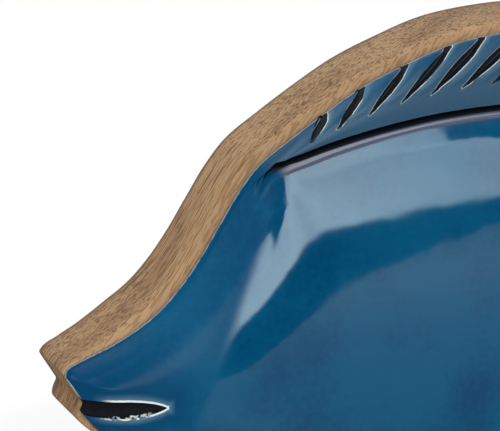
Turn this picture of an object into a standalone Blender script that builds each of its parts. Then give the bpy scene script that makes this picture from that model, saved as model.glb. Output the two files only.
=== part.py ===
"""Turbot figurine: a glazed ceramic relief bonded to the front of a fish-shaped board.

Metres, +Z up. The fish looks along -X, the ceramic faces -Y and the board lies behind it. The origin is at
the middle of the overall box, on the surface that the figurine stands on.
"""

import math

import bmesh
import bpy
import numpy as np

# Driving dimensions
LENGTH = 0.264  # ceramic, snout to tail
FISH_HEIGHT = 0.158  # ceramic, back to belly, before the belly is sawn flat
BASE_CUT = 0.005  # sawn off the ceramic's belly
BOARD_THICKNESS = 0.0195
BOARD_REVEAL = 0.0028  # board outside the ceramic, all round but for the snout
SNOUT_REVEAL = 0.0004
SNOUT_REVEAL_FADE = 0.020  # length over which the reveal grows from the snout, along the back
JAW_REVEAL_FADE = 0.080  # and along the jaw
FRONT_ROUND = 0.0024  # rounding of the board's front edge, where the reveal leaves room
BACK_ROUND = 0.0025

EDGE_WALL = 0.0014  # straight wall of the ceramic's edge
EDGE_ROUND = 0.0008  # rounding from that wall to the front
HEAD_MARGIN = 0.0030  # round the head, where there is no fin
HEAD_FULLNESS = 2.2  # how soon the head levels off towards the crown line
HEAD_SHOULDER = 0.75  # how steeply it leaves its edge
FIN_ROOT_HEIGHT = 0.0048
GROOVE_WIDTH = 0.0013  # step between a fin and the body
GROOVE_FLOOR = 0.0022
STEP_WIDTH = 0.0020  # rounded edge of the body, beside the groove
STEP_HEIGHT = 0.0078
CROWN_HEIGHT = 0.0155
CROWN_END_HEIGHT = 0.0100
CROWN_FULLNESS = 3.0  # how soon the body levels off towards the crown line
SPINE_FRONT_SETBACK = 0.023  # from the body's front to the start of the line along its crown
SPINE_REAR_SETBACK = 0.0185
SPINE_DROP = 0.004  # that line below the snout tip
SPINE_HEAD_DROP = 0.009  # and its further dip behind the mouth
SPINE_NOSE_DROP = 0.5  # share of that dip at the line's very start
SPINE_DIP = 9.0  # how sharply it dips there
SPINE_RISE = 4  # and how soon it comes up again

WALL = 0.0045
CHANNEL_SETBACK = 0.0012  # glue channel, measured inward from the body's edge
CHANNEL_WIDTH = 0.0040
CHANNEL_DEPTH = 0.0014
INNER_LAND = 0.0022
BOSS_RADIUS = 0.008
BOSS_SPOTS = (0.28, 0.70)  # share of the line along the crown
DAB_RADIUS = 0.0065

RAY_WIDTH = 0.0023
RAY_DEPTH = 0.0011
RAY_PITCH = 0.0070
RAY_START = 0.36  # share of the margin between the body and a ray's pointed end
RAY_OVERRUN = 0.0020  # of its cutter, over the edge
SHORTEST_RAY = 0.0086  # margin of the fin below which it has no ray
FIRST_RAY = 0.0085  # along the groove, from its front end
MOUTH_WIDTH = 0.0048
MOUTH_DEPTH = 0.0022
MOUTH_LENGTH = 0.0179
MOUTH_OVERRUN = 0.010  # of its cutter, in front of the notch
MOUTH_CORNER = (0.0040, -0.0089)  # deepest point of the notch, from the snout tip
NOTCH_BLUNT = 0.0006  # width of the notch at that point
NOTCH_REACH = 0.014
LIP_FLANKS = ((-0.52, 0.854), (-0.46, -0.888))  # directions of the two lips, from that point

FELT_THICKNESS = 0.0010
FELT_SIZE = (0.014, 0.018)  # along the fish, and across the board and the ceramic
FELT_CORNER = 0.003
FELT_SPACING = 0.044  # between the middles of the two pads
SEAT_GAP = 0.0003  # between pieces that touch

# Sections of the relief, as shares of the named widths and heights
WALL_SHARE = 0.4  # of the edge's wall, below its rounding
FIN_SHARES = (0.3, 0.65, 1.0)
GROOVE_PROFILE = ((0.30, 0.55), (0.62, 0.05), (1.0, 0.0))  # across, and how much of the depth is left
STEP_PROFILE = ((0.12, 0.48), (0.45, 0.85), (1.0, 1.0))  # across, and how much has risen
DOME_SHARES = (0.10, 0.22, 0.36, 0.54, 0.76, 1.0)
HOLLOW_SHARES = (1.0, 0.66, 0.33, 0.08)

# Sections of a cut, from its pointed end: width and depth as shares of the cut's own, and the surface there
# as a share of the way from its low end to its high end. A depth below 0 has the cutter above the surface.
RAY_SECTIONS = ((0.15, -0.15, 0.87), (0.85, 1.0, 0.75), (1.0, 1.0, 0.50), (0.9, 1.0, 0.0))
MOUTH_SECTIONS = (
    (0.1, -0.15, 1.04), (0.66, 0.8, 0.93), (0.92, 1.0, 0.74), (1.0, 1.0, 0.45), (1.0, 0.6, 0.14), (1.0, 0.4, 0.0),
    (1.0, 0.4, 0.0),
)
CUT_LIFT = 0.0006  # a cutter's lips above the surface

# Mesh density
SPAN_STEPS = 2  # steps between two stations of the outline
ARC_STEPS = 3
EDGE_STEPS = 2
ROUND_STEPS = 24
CORNER_STEPS = 4

SHARP_ANGLE = math.radians(40)  # edges sharper than this show as edges
MERGE_DISTANCE = 0.000001

# Finishes: colour and roughness
OILED_WOOD = ((0.33, 0.20, 0.10), 0.55)
BLUE_GLAZE = ((0.004, 0.055, 0.13), 0.08)
ADHESIVE = ((0.75, 0.74, 0.68), 0.5)
FELT = ((0.06, 0.045, 0.035), 0.95)

# Stations run from the snout to the middle of the tail. Each row is one line across the margin of the
# fish: its end on the outer edge, its end on the body's edge, and how deep the groove is there, as a share.
# Places are in percent of LENGTH behind the snout and of FISH_HEIGHT above it. Where the body's end is
# None there is no fin, and the body comes to HEAD_MARGIN from the edge.
BACK = (
    ((0.0, -0.2), None, 0.0),
    ((1.8, 1.4), None, 0.0),
    ((3.9, 2.7), None, 0.0),
    ((6.4, 4.7), None, 0.0),
    ((8.9, 7.5), None, 0.0),
    ((11.0, 11.0), None, 0.0),
    ((13.0, 15.4), None, 0.03),
    ((14.9, 20.4), None, 0.1),
    ((16.8, 25.3), None, 0.24),
    ((18.7, 29.0), None, 0.5),
    ((21.8, 32.6), (20.6, 29.6), 0.85),
    ((24.9, 35.9), (22.1, 30.5), 1.0),
    ((28.9, 39.7), (24.5, 31.6), 1.0),
    ((33.1, 42.5), (26.9, 32.5), 1.0),
    ((37.2, 44.7), (29.4, 33.3), 1.0),
    ((40.8, 45.6), (32.2, 34.0), 1.0),
    ((46.2, 45.9), (36.2, 34.7), 1.0),
    ((53.4, 44.7), (42.4, 35.0), 1.0),
    ((60.6, 41.0), (50.0, 34.3), 1.0),
    ((67.2, 34.6), (58.2, 31.3), 1.0),
    ((73.1, 26.1), (66.0, 25.7), 1.0),
    ((78.0, 17.1), (73.2, 18.0), 1.0),
    ((82.0, 11.8), (79.3, 10.6), 0.9),
    ((87.5, 12.8), (82.8, 7.1), 0.8),
    ((93.6, 17.2), (84.0, 4.8), 0.8),
    ((97.2, 19.4), (84.5, 3.3), 0.8),
    ((99.3, 12.7), (84.8, 2.3), 0.8),
    ((100.0, 0.0), (85.0, 0.0), 0.8),
)
BELLY = (
    ((0.0, -0.2), None, 0.0),
    ((0.3, -3.2), None, 0.0),
    ((1.0, -5.9), None, 0.0),
    ((1.9, -8.2), None, 0.0),
    ((3.4, -11.0), None, 0.0),
    ((5.9, -14.7), None, 0.0),
    ((9.3, -19.6), None, 0.03),
    ((13.3, -25.6), None, 0.1),
    ((17.6, -31.9), None, 0.24),
    ((22.0, -37.7), None, 0.5),
    ((25.6, -42.2), (24.0, -39.1), 0.85),
    ((29.2, -46.1), (25.9, -40.2), 1.0),
    ((33.1, -49.6), (28.6, -41.5), 1.0),
    ((37.3, -52.2), (31.3, -42.4), 1.0),
    ((41.5, -53.7), (34.2, -43.0), 1.0),
    ((45.5, -54.1), (37.1, -43.2), 1.0),
    ((50.0, -53.5), (40.6, -43.1), 1.0),
    ((55.7, -51.0), (45.4, -42.2), 1.0),
    ((62.1, -45.4), (51.7, -39.7), 1.0),
    ((68.2, -37.3), (58.9, -35.0), 1.0),
    ((73.7, -27.3), (66.2, -28.0), 1.0),
    ((78.3, -17.5), (73.0, -19.6), 1.0),
    ((82.0, -11.9), (79.3, -11.0), 0.9),
    ((87.5, -12.8), (82.8, -7.1), 0.8),
    ((93.6, -17.2), (84.0, -4.8), 0.8),
    ((97.2, -19.4), (84.5, -3.3), 0.8),
    ((99.3, -12.7), (84.8, -2.3), 0.8),
    ((100.0, 0.0), (85.0, 0.0), 0.8),
)
DORSAL_STATIONS = (9, 21)  # stations between which a fin has rays
ANAL_STATIONS = (9, 21)
TAIL_STATIONS = (25, 27)
TAIL_RAYS = 4  # on each side of the middle one


# Outline: smooth lines through the stations


def smooth_loop(rows, steps):
    """Points of a closed smooth line through the rows, with that many steps between two of them."""
    rows = np.asarray(rows, float)
    count = len(rows)
    # Spacing by the root of each chord keeps the line from swinging out at the tight ends
    spans = [math.dist(rows[i, :2], rows[(i + 1) % count, :2]) ** 0.5 for i in range(count)]
    points = []
    for i in range(count):
        before, start, end, after = (rows[(i + k) % count] for k in (-1, 0, 1, 2))
        last, span, following = spans[i - 1], spans[i], spans[(i + 1) % count]
        out = slope(before, start, end, last, span) * span
        into = slope(start, end, after, span, following) * span
        for step in range(steps):
            t = step / steps
            points.append(
                start * (2 * t**3 - 3 * t**2 + 1)
                + end * (3 * t**2 - 2 * t**3)
                + out * (t**3 - 2 * t**2 + t)
                + into * (t**3 - t**2)
            )
    return np.array(points)


def slope(before, middle, after, first, second):
    """Slope of the smooth line at its middle point, for two spans of unlike length."""
    left = (middle - before) / first
    right = (after - middle) / second
    return (left * second + right * first) / (first + second)


def normals(loop):
    """Outward unit normals of a closed outline that runs from the snout over the back."""
    ahead = np.roll(loop, -1, axis=0) - np.roll(loop, 1, axis=0)
    ahead /= np.linalg.norm(ahead, axis=1)[:, None]
    return np.column_stack([-ahead[:, 1], ahead[:, 0]])


def station_rows(stations):
    """Stations in metres, as edge x, edge z, body x, body z and groove share; a missing body is a nan."""
    rows = []
    for edge, body, groove in stations:
        body = body or (math.nan, math.nan)
        scale = (LENGTH / 100, FISH_HEIGHT / 100)
        rows.append([edge[0] * scale[0], edge[1] * scale[1], body[0] * scale[0], body[1] * scale[1], groove])
    return rows


class Fish:
    """The outline of the fish and the lines that cross its margin, at one density."""

    def __init__(self, steps):
        rows = np.array(station_rows(BACK) + station_rows(BELLY)[-2:0:-1])
        bare = np.isnan(rows[:, 2])
        rows[bare, 2:4] = (rows[:, :2] - normals(rows[:, :2]) * HEAD_MARGIN)[bare]
        loop = smooth_loop(rows, steps)
        self.half = (len(BACK) - 1) * steps
        self.edge = loop[:, :2]
        self.body = loop[:, 2:4]
        self.groove = np.clip(loop[:, 4], 0, 1)
        self.outward = normals(self.edge)
        self.spine_start = self.body[:, 0].min() + SPINE_FRONT_SETBACK
        self.spine_end = self.body[:, 0].max() - SPINE_REAR_SETBACK
        self.spine = self.spine_points()

    def along_spine(self, share):
        """Points of the crown line, which dips behind the mouth."""
        dip = (SPINE_NOSE_DROP + SPINE_DIP * share) * (1 - share) ** SPINE_RISE
        drop = SPINE_DROP + SPINE_HEAD_DROP * dip
        return np.column_stack([self.spine_start + (self.spine_end - self.spine_start) * share, -drop])

    def spine_points(self):
        """The point of the crown line that each station leads to; back and belly meet there."""
        mirror = (-np.arange(len(self.body))) % len(self.body)
        middle = (self.body[:, 0] + self.body[mirror, 0]) / 2
        return self.along_spine((middle - middle.min()) / (middle.max() - middle.min()))

    def crown(self):
        """Height of the relief on the crown line, for each station."""
        share = (self.spine[:, 0] - self.spine_start) / (self.spine_end - self.spine_start)
        return CROWN_END_HEIGHT + (CROWN_HEIGHT - CROWN_END_HEIGHT) * 4 * share * (1 - share)

    def margin(self):
        """Width of the margin between the edge and the body."""
        return np.linalg.norm(self.body - self.edge, axis=1)

    def from_edge(self, distance):
        """Points at a distance from the edge, on the way to the body."""
        return self.edge + (self.body - self.edge) * (distance / self.margin())[:, None]

    def from_body(self, distance, share=0.0):
        """Points at a distance inside the body's edge, and then a share of the way on to the crown line."""
        reach = np.linalg.norm(self.spine - self.body, axis=1)
        along = distance / reach + share * (1 - distance / reach)
        return self.body + (self.spine - self.body) * along[:, None]

    def grown(self, distance):
        """The edge, moved outward."""
        return self.edge + self.outward * np.broadcast_to(distance, len(self.edge))[:, None]

    def level(self, head, finned):
        """A height that is one value round the head and another where there is a fin."""
        return head + (finned - head) * self.groove

    def head_height(self, distance):
        """Height of the head at a distance from its edge, on the way to the crown line."""
        whole = self.margin() + np.linalg.norm(self.spine - self.body, axis=1)
        left = np.clip(1 - distance / whole, 0, 1)
        return EDGE_WALL + (self.crown() - EDGE_WALL) * (1 - left**HEAD_FULLNESS) ** HEAD_SHOULDER

    def dome(self, share, start):
        """Height of the dome at a share of the way to the crown line, from a start inside the body's edge."""
        reach = np.linalg.norm(self.spine - self.body, axis=1)
        head = self.head_height(self.margin() + start + (reach - start) * share)
        return self.level(head, STEP_HEIGHT + (self.crown() - STEP_HEIGHT) * (1 - (1 - share) ** CROWN_FULLNESS))


def relief_rings(fish):
    """Rings over the front of the ceramic, from its back edge to the crown line, as (points, height)."""
    margin = fish.margin()
    rings = [(fish.edge, 0.0 * margin)]
    for step in range(EDGE_STEPS + 1):
        turn = step / EDGE_STEPS * math.pi / 2
        place = EDGE_ROUND * (1 - math.cos(turn))
        wall = EDGE_WALL * (WALL_SHARE + (1 - WALL_SHARE) * math.sin(turn))
        rings.append((fish.from_edge(place), fish.level(fish.head_height(place) - EDGE_WALL + wall, wall)))
    fin_end = margin - GROOVE_WIDTH
    for share in FIN_SHARES:
        place = EDGE_ROUND + (fin_end - EDGE_ROUND) * share
        fin = EDGE_WALL + (FIN_ROOT_HEIGHT - EDGE_WALL) * (1 - (1 - share) ** 2)
        rings.append((fish.from_edge(place), fish.level(fish.head_height(place), fin)))
    for across, left in GROOVE_PROFILE:
        place = fin_end + (margin - fin_end) * across
        groove = GROOVE_FLOOR + (FIN_ROOT_HEIGHT - GROOVE_FLOOR) * left
        rings.append((fish.from_edge(place), fish.level(fish.head_height(place), groove)))
    for across, risen in STEP_PROFILE:
        step = GROOVE_FLOOR + (STEP_HEIGHT - GROOVE_FLOOR) * risen
        height = fish.level(fish.head_height(margin + STEP_WIDTH * across), step)
        rings.append((fish.from_body(STEP_WIDTH * across), height))
    for share in DOME_SHARES:
        rings.append((fish.from_body(STEP_WIDTH, share), fish.dome(share, STEP_WIDTH)))
    return rings


def hollow_rings(fish):
    """Rings behind the ceramic, from the crown line inside the shell out to its back edge."""
    count = np.ones(len(fish.edge))
    channel = CHANNEL_SETBACK + np.array([0, CHANNEL_WIDTH])
    land = channel[1] + INNER_LAND
    rings = []
    for share in HOLLOW_SHARES:
        rings.append((fish.from_body(land, share), fish.dome(share, land) - WALL))
    rings.append((fish.from_body(land), 0.0 * count))
    rings.append((fish.from_body(channel[1]), 0.0 * count))
    rings.append((fish.from_body(channel[1]), CHANNEL_DEPTH * count))
    rings.append((fish.from_body(channel[0]), CHANNEL_DEPTH * count))
    rings.append((fish.from_body(channel[0]), 0.0 * count))
    return rings


# Places of the pieces


def placed(points, height, frame):
    """Outline points at a height in front of the joint plane, in the object's own frame."""
    height = np.broadcast_to(height, len(points))
    return np.column_stack([points[:, 0] - frame["middle"], frame["joint"] - height, points[:, 1] + frame["axis"]])


def object_frame(fish):
    """Where the snout tip's line and the joint plane lie, so that the origin is under the middle of the box."""
    board = fish.grown(board_reveal(fish))
    lowest = fish.edge[:, 1].min()
    return {
        "middle": (board[:, 0].min() + board[:, 0].max()) / 2,
        "joint": (CROWN_HEIGHT + SEAT_GAP - BOARD_THICKNESS) / 2,
        "axis": base_height() - lowest - BASE_CUT,
    }


def base_height():
    """Height of the sawn flat above the surface that the figurine stands on."""
    return FELT_THICKNESS + SEAT_GAP


def board_reveal(fish):
    """How far the board stands out from the ceramic: hardly at the snout, fully all round the rest."""
    fade = np.where(fish.edge[:, 1] < 0, JAW_REVEAL_FADE, SNOUT_REVEAL_FADE)
    share = np.clip(fish.edge[:, 0] / fade, 0, 1)
    ease = share * share * (3 - 2 * share)
    return SNOUT_REVEAL + (BOARD_REVEAL - SNOUT_REVEAL) * ease


# Blender helpers


def clear_scene():
    """Starts from an empty scene."""
    for item in list(bpy.data.objects):
        bpy.data.objects.remove(item)


def collection(name):
    made = bpy.data.collections.new(name)
    bpy.context.scene.collection.children.link(made)
    return made


def material(name, finish):
    colour, roughness = finish
    made = bpy.data.materials.new(name)
    made.use_nodes = True
    shader = made.node_tree.nodes["Principled BSDF"]
    shader.inputs["Base Color"].default_value = (*colour, 1)
    shader.inputs["Roughness"].default_value = roughness
    shader.inputs["Metallic"].default_value = 0
    return made


def add_object(name, bm, group, surface=None):
    """Puts the bmesh in the scene as an object, closed, facing out and shaded smooth but for its edges."""
    bmesh.ops.remove_doubles(bm, verts=bm.verts, dist=MERGE_DISTANCE)
    bmesh.ops.recalc_face_normals(bm, faces=bm.faces)
    mesh = bpy.data.meshes.new(name)
    bm.to_mesh(mesh)
    bm.free()
    made = bpy.data.objects.new(name, mesh)
    group.objects.link(made)
    if surface:
        mesh.materials.append(surface)
        mesh.shade_smooth()
        mesh.set_sharp_from_angle(angle=SHARP_ANGLE)
    else:
        made.hide_render = True
        made.display_type = "WIRE"
    return made


def skin(bm, rings, closed=False, caps=False):
    """Faces between rings of as many points each; closed joins the last ring to the first."""
    loops = [[bm.verts.new(point) for point in ring] for ring in rings]
    pairs = list(zip(loops, loops[1:]))
    if closed:
        pairs.append((loops[-1], loops[0]))
    for inner, outer in pairs:
        for i in range(len(inner)):
            j = (i + 1) % len(inner)
            bm.faces.new((inner[i], inner[j], outer[j], outer[i]))
    if caps:
        bm.faces.new(loops[0])
        bm.faces.new(reversed(loops[-1]))


def cut(target, cutter, operation="DIFFERENCE"):
    boolean = target.modifiers.new(cutter.name, "BOOLEAN")
    boolean.operation = operation
    boolean.solver = "EXACT"
    boolean.object = cutter


def disc(name, radius, front, back, centre, group, surface=None):
    """A round piece across the joint, between two depths."""
    bm = bmesh.new()
    bmesh.ops.create_cone(
        bm, cap_ends=True, segments=ROUND_STEPS, radius1=radius, radius2=radius, depth=back - front
    )
    made = add_object(name, bm, group, surface)
    made.rotation_euler = (math.pi / 2, 0, 0)
    made.location = (centre[0], (front + back) / 2, centre[1])
    return made


# Cutters


def add_cut(bm, start, end, width, depth, surface, sections, frame):
    """A V groove's cutter from its pointed start to its end; surface is the height at the end and the start."""
    start, end = np.array(start), np.array(end)
    along = (end - start) / np.linalg.norm(end - start)
    across = np.array([-along[1], along[0]]) * (width / 2 * (1 + CUT_LIFT / depth))
    low, high = surface
    rings = []
    for share, (wide, deep, risen) in zip(np.linspace(0, 1, len(sections)), sections):
        centre = start + (end - start) * share
        top = low + (high - low) * risen
        sides = np.array([centre - across * wide, centre, centre + across * wide, centre])
        heights = np.array([top + CUT_LIFT, top - depth * deep, top + CUT_LIFT, top + CUT_LIFT + depth])
        rings.append(placed(sides, heights, frame))
    skin(bm, rings, caps=True)


# Pieces


def wood_body(fish, frame, parts, cutters):
    """The board: an outline that stands out from the ceramic, rounded at both edges, notched and sawn flat."""
    surface = material("oiled_wood", OILED_WOOD)
    reveal = board_reveal(fish)
    front_round = np.minimum(FRONT_ROUND, reveal)
    rings = []
    for step in range(ARC_STEPS + 1):
        turn = step / ARC_STEPS * math.pi / 2
        outline = fish.grown(reveal - front_round * (1 - math.sin(turn)))
        rings.append(placed(outline, -front_round * (1 - math.cos(turn)), frame))
    for step in range(ARC_STEPS + 1):
        turn = step / ARC_STEPS * math.pi / 2
        outline = fish.grown(reveal - BACK_ROUND * (1 - math.cos(turn)))
        rings.append(placed(outline, -(BOARD_THICKNESS - BACK_ROUND * (1 - math.sin(turn))), frame))
    bm = bmesh.new()
    skin(bm, rings, caps=True)
    board = add_object("wood_body", bm, parts, surface)
    cut(board, cutters["notch"])
    cut(board, cutters["floor"])
    return board


def ceramic_front(fish, frame, parts, cutters):
    """The relief: a shell with fins, a domed body, an open back with a glue channel, and two bosses."""
    surface = material("blue_glaze", BLUE_GLAZE)
    rings = [placed(points, height + SEAT_GAP, frame) for points, height in hollow_rings(fish) + relief_rings(fish)]
    bm = bmesh.new()
    skin(bm, rings)
    shell = add_object("ceramic_front", bm, parts, surface)
    cut(shell, cutters["bosses"], "UNION")
    for name in ("rays", "mouth", "notch", "floor"):
        cut(shell, cutters[name])
    return shell


def adhesive_bead(fish, frame, parts, surface):
    """The bead of adhesive that fills the channel of the rim."""
    inner = CHANNEL_SETBACK + CHANNEL_WIDTH - SEAT_GAP
    outer = CHANNEL_SETBACK + SEAT_GAP
    corners = ((outer, SEAT_GAP), (inner, SEAT_GAP), (inner, CHANNEL_DEPTH), (outer, CHANNEL_DEPTH))
    bm = bmesh.new()
    skin(bm, [placed(fish.from_body(place), height, frame) for place, height in corners], closed=True)
    return add_object("adhesive_bead", bm, parts, surface)


def boss_centres(fish, frame):
    """Where the two bosses stand, on the crown line."""
    for x, z in fish.along_spine(np.array(BOSS_SPOTS)):
        yield x - frame["middle"], z + frame["axis"]


def felt_pad(name, side, centre_x, frame, parts, surface):
    """A thin pad under the sawn flat, across the ceramic and the board."""
    bm = bmesh.new()
    bmesh.ops.create_cube(bm, size=1)
    bmesh.ops.scale(bm, vec=(*FELT_SIZE, FELT_THICKNESS), verts=bm.verts)
    corners = [edge for edge in bm.edges if abs(edge.verts[0].co.z - edge.verts[1].co.z) > FELT_THICKNESS / 2]
    bmesh.ops.bevel(bm, geom=corners, offset=FELT_CORNER, segments=CORNER_STEPS, profile=0.5, affect="EDGES")
    pad = add_object(name, bm, parts, surface)
    middle_y = frame["joint"] + (BOARD_THICKNESS - BACK_ROUND - EDGE_WALL) / 2
    pad.location = (centre_x + side * FELT_SPACING / 2, middle_y, FELT_THICKNESS / 2)
    return pad


# Cutters, in their places


def ray_lines(fish):
    """Inner and outer ends of every fin ray, from the fins' own stations."""
    steps = SPAN_STEPS
    count = len(fish.edge)
    for side, (first, last) in ((1, DORSAL_STATIONS), (-1, ANAL_STATIONS)):
        index = (side * np.arange(first * steps, last * steps + 1)) % count
        groove, edge = fish.body[index], fish.edge[index]
        run = np.concatenate([[0], np.cumsum(np.linalg.norm(np.diff(groove, axis=0), axis=1))])
        for place in np.arange(FIRST_RAY, run[-1], RAY_PITCH):
            inner = [np.interp(place, run, groove[:, axis]) for axis in (0, 1)]
            outer = [np.interp(place, run, edge[:, axis]) for axis in (0, 1)]
            yield np.array(inner), np.array(outer)
    index = np.arange(TAIL_STATIONS[1] * steps, TAIL_STATIONS[0] * steps - 1, -1)
    heights, lines = fish.edge[index, 1], np.column_stack([fish.body[index], fish.edge[index]])
    for number in range(-TAIL_RAYS, TAIL_RAYS + 1):
        height = heights[-1] * abs(number) / (TAIL_RAYS + 1)
        line = np.array([np.interp(height, heights, lines[:, axis]) for axis in range(4)])
        line[[1, 3]] *= 1 if number > 0 else -1
        yield line[:2], line[2:]


def ray_cutter(fish, frame, cutters):
    bm = bmesh.new()
    for groove, edge in ray_lines(fish):
        along = edge - groove
        length = np.linalg.norm(along)
        if length < SHORTEST_RAY:
            continue
        along /= length
        start = groove + along * length * RAY_START
        end = edge + along * RAY_OVERRUN
        surface = (EDGE_WALL, FIN_ROOT_HEIGHT)
        add_cut(bm, start, end, RAY_WIDTH, RAY_DEPTH, surface, RAY_SECTIONS, frame)
    return add_object("rays", bm, cutters)


def mouth_cutter(frame, cutters):
    corner, back = np.array(MOUTH_CORNER), np.array([1, 0])
    start = corner + back * MOUTH_LENGTH
    end = corner - back * MOUTH_OVERRUN
    surface = (EDGE_WALL, CROWN_END_HEIGHT)
    bm = bmesh.new()
    add_cut(bm, start, end, MOUTH_WIDTH, MOUTH_DEPTH, surface, MOUTH_SECTIONS, frame)
    return add_object("mouth", bm, cutters)


def notch_cutter(frame, cutters):
    """The open mouth in the outline: a wedge that runs through the board and the ceramic."""
    half = np.array([0, NOTCH_BLUNT / 2])
    upper, lower = np.array(MOUTH_CORNER) + half, np.array(MOUTH_CORNER) - half
    upper_flank, lower_flank = (np.array(flank) * NOTCH_REACH for flank in LIP_FLANKS)
    wedge = np.array([upper, upper + upper_flank, lower + lower_flank, lower])
    bm = bmesh.new()
    rings = [placed(wedge, height, frame) for height in (CROWN_HEIGHT * 2, -BOARD_THICKNESS * 2)]
    skin(bm, rings, caps=True)
    return add_object("notch", bm, cutters)


def floor_cutter(cutters):
    """Everything below the sawn flat."""
    bm = bmesh.new()
    bmesh.ops.create_cube(bm, size=1)
    made = add_object("floor", bm, cutters)
    made.scale = (LENGTH * 2, LENGTH, FISH_HEIGHT)
    made.location = (0, 0, base_height() - FISH_HEIGHT / 2)
    return made


def boss_cutter(fish, frame, cutters):
    bm = bmesh.new()
    for x, z in boss_centres(fish, frame):
        made = bmesh.ops.create_cone(
            bm,
            cap_ends=True,
            segments=ROUND_STEPS,
            radius1=BOSS_RADIUS,
            radius2=BOSS_RADIUS,
            depth=CROWN_HEIGHT - WALL / 2 - CHANNEL_DEPTH,
        )
        middle = SEAT_GAP + (CROWN_HEIGHT - WALL / 2 + CHANNEL_DEPTH) / 2
        for vert in made["verts"]:
            vert.co = (vert.co.x + x, frame["joint"] - middle - vert.co.z, vert.co.y + z)
    return add_object("bosses", bm, cutters)


def build():
    clear_scene()
    parts = collection("turbot_figurine")
    helpers = collection("cutters")
    fish = Fish(SPAN_STEPS)
    frame = object_frame(fish)
    cutters = {
        "rays": ray_cutter(fish, frame, helpers),
        "mouth": mouth_cutter(frame, helpers),
        "notch": notch_cutter(frame, helpers),
        "floor": floor_cutter(helpers),
        "bosses": boss_cutter(fish, frame, helpers),
    }
    wood_body(fish, frame, parts, cutters)
    ceramic_front(fish, frame, parts, cutters)
    glue = material("adhesive", ADHESIVE)
    adhesive_bead(fish, frame, parts, glue)
    for name, (x, z) in zip(("front", "rear"), boss_centres(fish, frame)):
        front = frame["joint"] - CHANNEL_DEPTH
        back = frame["joint"] - SEAT_GAP
        disc(f"adhesive_dab_{name}", DAB_RADIUS, front, back, (x, z), parts, glue)
    felt = material("felt", FELT)
    lowest = fish.edge[np.argmin(fish.edge[:, 1]), 0] - frame["middle"]
    felt_pad("felt_pad_front", -1, lowest, frame, parts, felt)
    felt_pad("felt_pad_rear", 1, lowest, frame, parts, felt)


build()
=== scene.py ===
"""Looks of the turbot figurine: a glazed relief on a fish-shaped oak board, on a pale studio floor."""

import math

import bmesh
import bpy
import numpy as np
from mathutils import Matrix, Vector
from mathutils.bvhtree import BVHTree


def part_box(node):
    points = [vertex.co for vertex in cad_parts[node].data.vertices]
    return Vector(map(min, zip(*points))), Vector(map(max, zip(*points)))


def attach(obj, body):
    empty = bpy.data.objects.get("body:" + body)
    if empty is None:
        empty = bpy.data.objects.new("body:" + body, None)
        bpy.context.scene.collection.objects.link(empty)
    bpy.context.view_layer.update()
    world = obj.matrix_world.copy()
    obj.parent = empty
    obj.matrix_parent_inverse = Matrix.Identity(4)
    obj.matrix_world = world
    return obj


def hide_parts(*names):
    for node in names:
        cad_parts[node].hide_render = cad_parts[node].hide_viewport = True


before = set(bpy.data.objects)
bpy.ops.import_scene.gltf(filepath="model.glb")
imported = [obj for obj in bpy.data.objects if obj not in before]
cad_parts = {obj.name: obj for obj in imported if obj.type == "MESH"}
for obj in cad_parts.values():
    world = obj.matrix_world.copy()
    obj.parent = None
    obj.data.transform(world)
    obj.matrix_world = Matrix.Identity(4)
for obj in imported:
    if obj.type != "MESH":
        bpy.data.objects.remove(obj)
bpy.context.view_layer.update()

bl_info = {
    "name": "Turbot Figurine",
    "version": (1, 0, 0),
    "blender": (4, 5, 0),
    "location": "3D View > Sidebar > Turbot",
    "description": "Makes a glazed flatfish relief on its oak board, and a small studio round it",
    "category": "Add Mesh",
}

# Places read from the parts in model.glb
CERAMIC_LOW, CERAMIC_HIGH = (np.array(corner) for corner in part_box("ceramic_front"))
BOARD_LOW, BOARD_HIGH = (np.array(corner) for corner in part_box("wood_body"))
LENGTH = CERAMIC_HIGH[0] - CERAMIC_LOW[0]
JOINT = BOARD_LOW[1]  # front face of the board
BOARD_THICKNESS = BOARD_HIGH[1] - JOINT
SEAT_GAP = JOINT - CERAMIC_HIGH[1]
BASE = BOARD_LOW[2]  # the sawn flat

# Sizes of the relief and the board, most of them as the solids have them
FISH_HEIGHT = 0.158
BOARD_REVEAL = 0.0028
SNOUT_REVEAL = 0.0004
SNOUT_REVEAL_FADE = 0.020
JAW_REVEAL_FADE = 0.080
FRONT_ROUND = 0.0024
BACK_ROUND = 0.0025
EDGE_WALL = 0.0014  # height of the edge
EDGE_FOOT = 0.4  # share of it below its rounding
EDGE_ROUND = 0.0006
FIN_LEAST = 1.2  # least width of a fin, as a multiple of that rounding
HEAD_MARGIN = 0.0030
HEAD_FULLNESS = 3.4
HEAD_SHOULDER = 0.75
FIN_ROOT_HEIGHT = 0.0048
FIN_FULLNESS = 2.0
GROOVE_WIDTH = 0.0013
GROOVE_FLOOR = 0.0022
STEP_WIDTH = 0.0020
STEP_HEIGHT = 0.0078
CROWN_HEIGHT = 0.0155
CROWN_END_HEIGHT = 0.0100
CROWN_FULLNESS = 3.0
SPINE_FRONT_SETBACK = 0.023
SPINE_REAR_SETBACK = 0.0185
SPINE_DROP = 0.004
SPINE_FRONT_DROP = 0.009
SPINE_DIP = 9.0
SPINE_SPREAD = 0.06  # evens the columns where they crowd at the ends of the crown line
WALL = 0.0045
CHANNEL_SETBACK = 0.0012
CHANNEL_WIDTH = 0.0040
CHANNEL_DEPTH = 0.0014
INNER_LAND = 0.0022
RAY_WIDTH = 0.0042  # along the fin, which the rays cross aslant
RAY_DEPTH = 0.0012
RAY_PITCH = 0.0070
RAY_START = 0.36  # share of the margin that a ray leaves bare beside the body
RAY_BARE = 0.0045  # least of that margin
SHORTEST_RAY = 0.0086
FIRST_RAY = 0.0090
RAY_CROWDING = 0.0015  # the rays by the head stand closer
RAY_CROWD = 3  # the ray at which that is most
RAY_BELLY = 0.62  # where a ray is widest, as a share of its length
RAY_SWELL = 0.75
RAY_TAPER = 0.45
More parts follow.
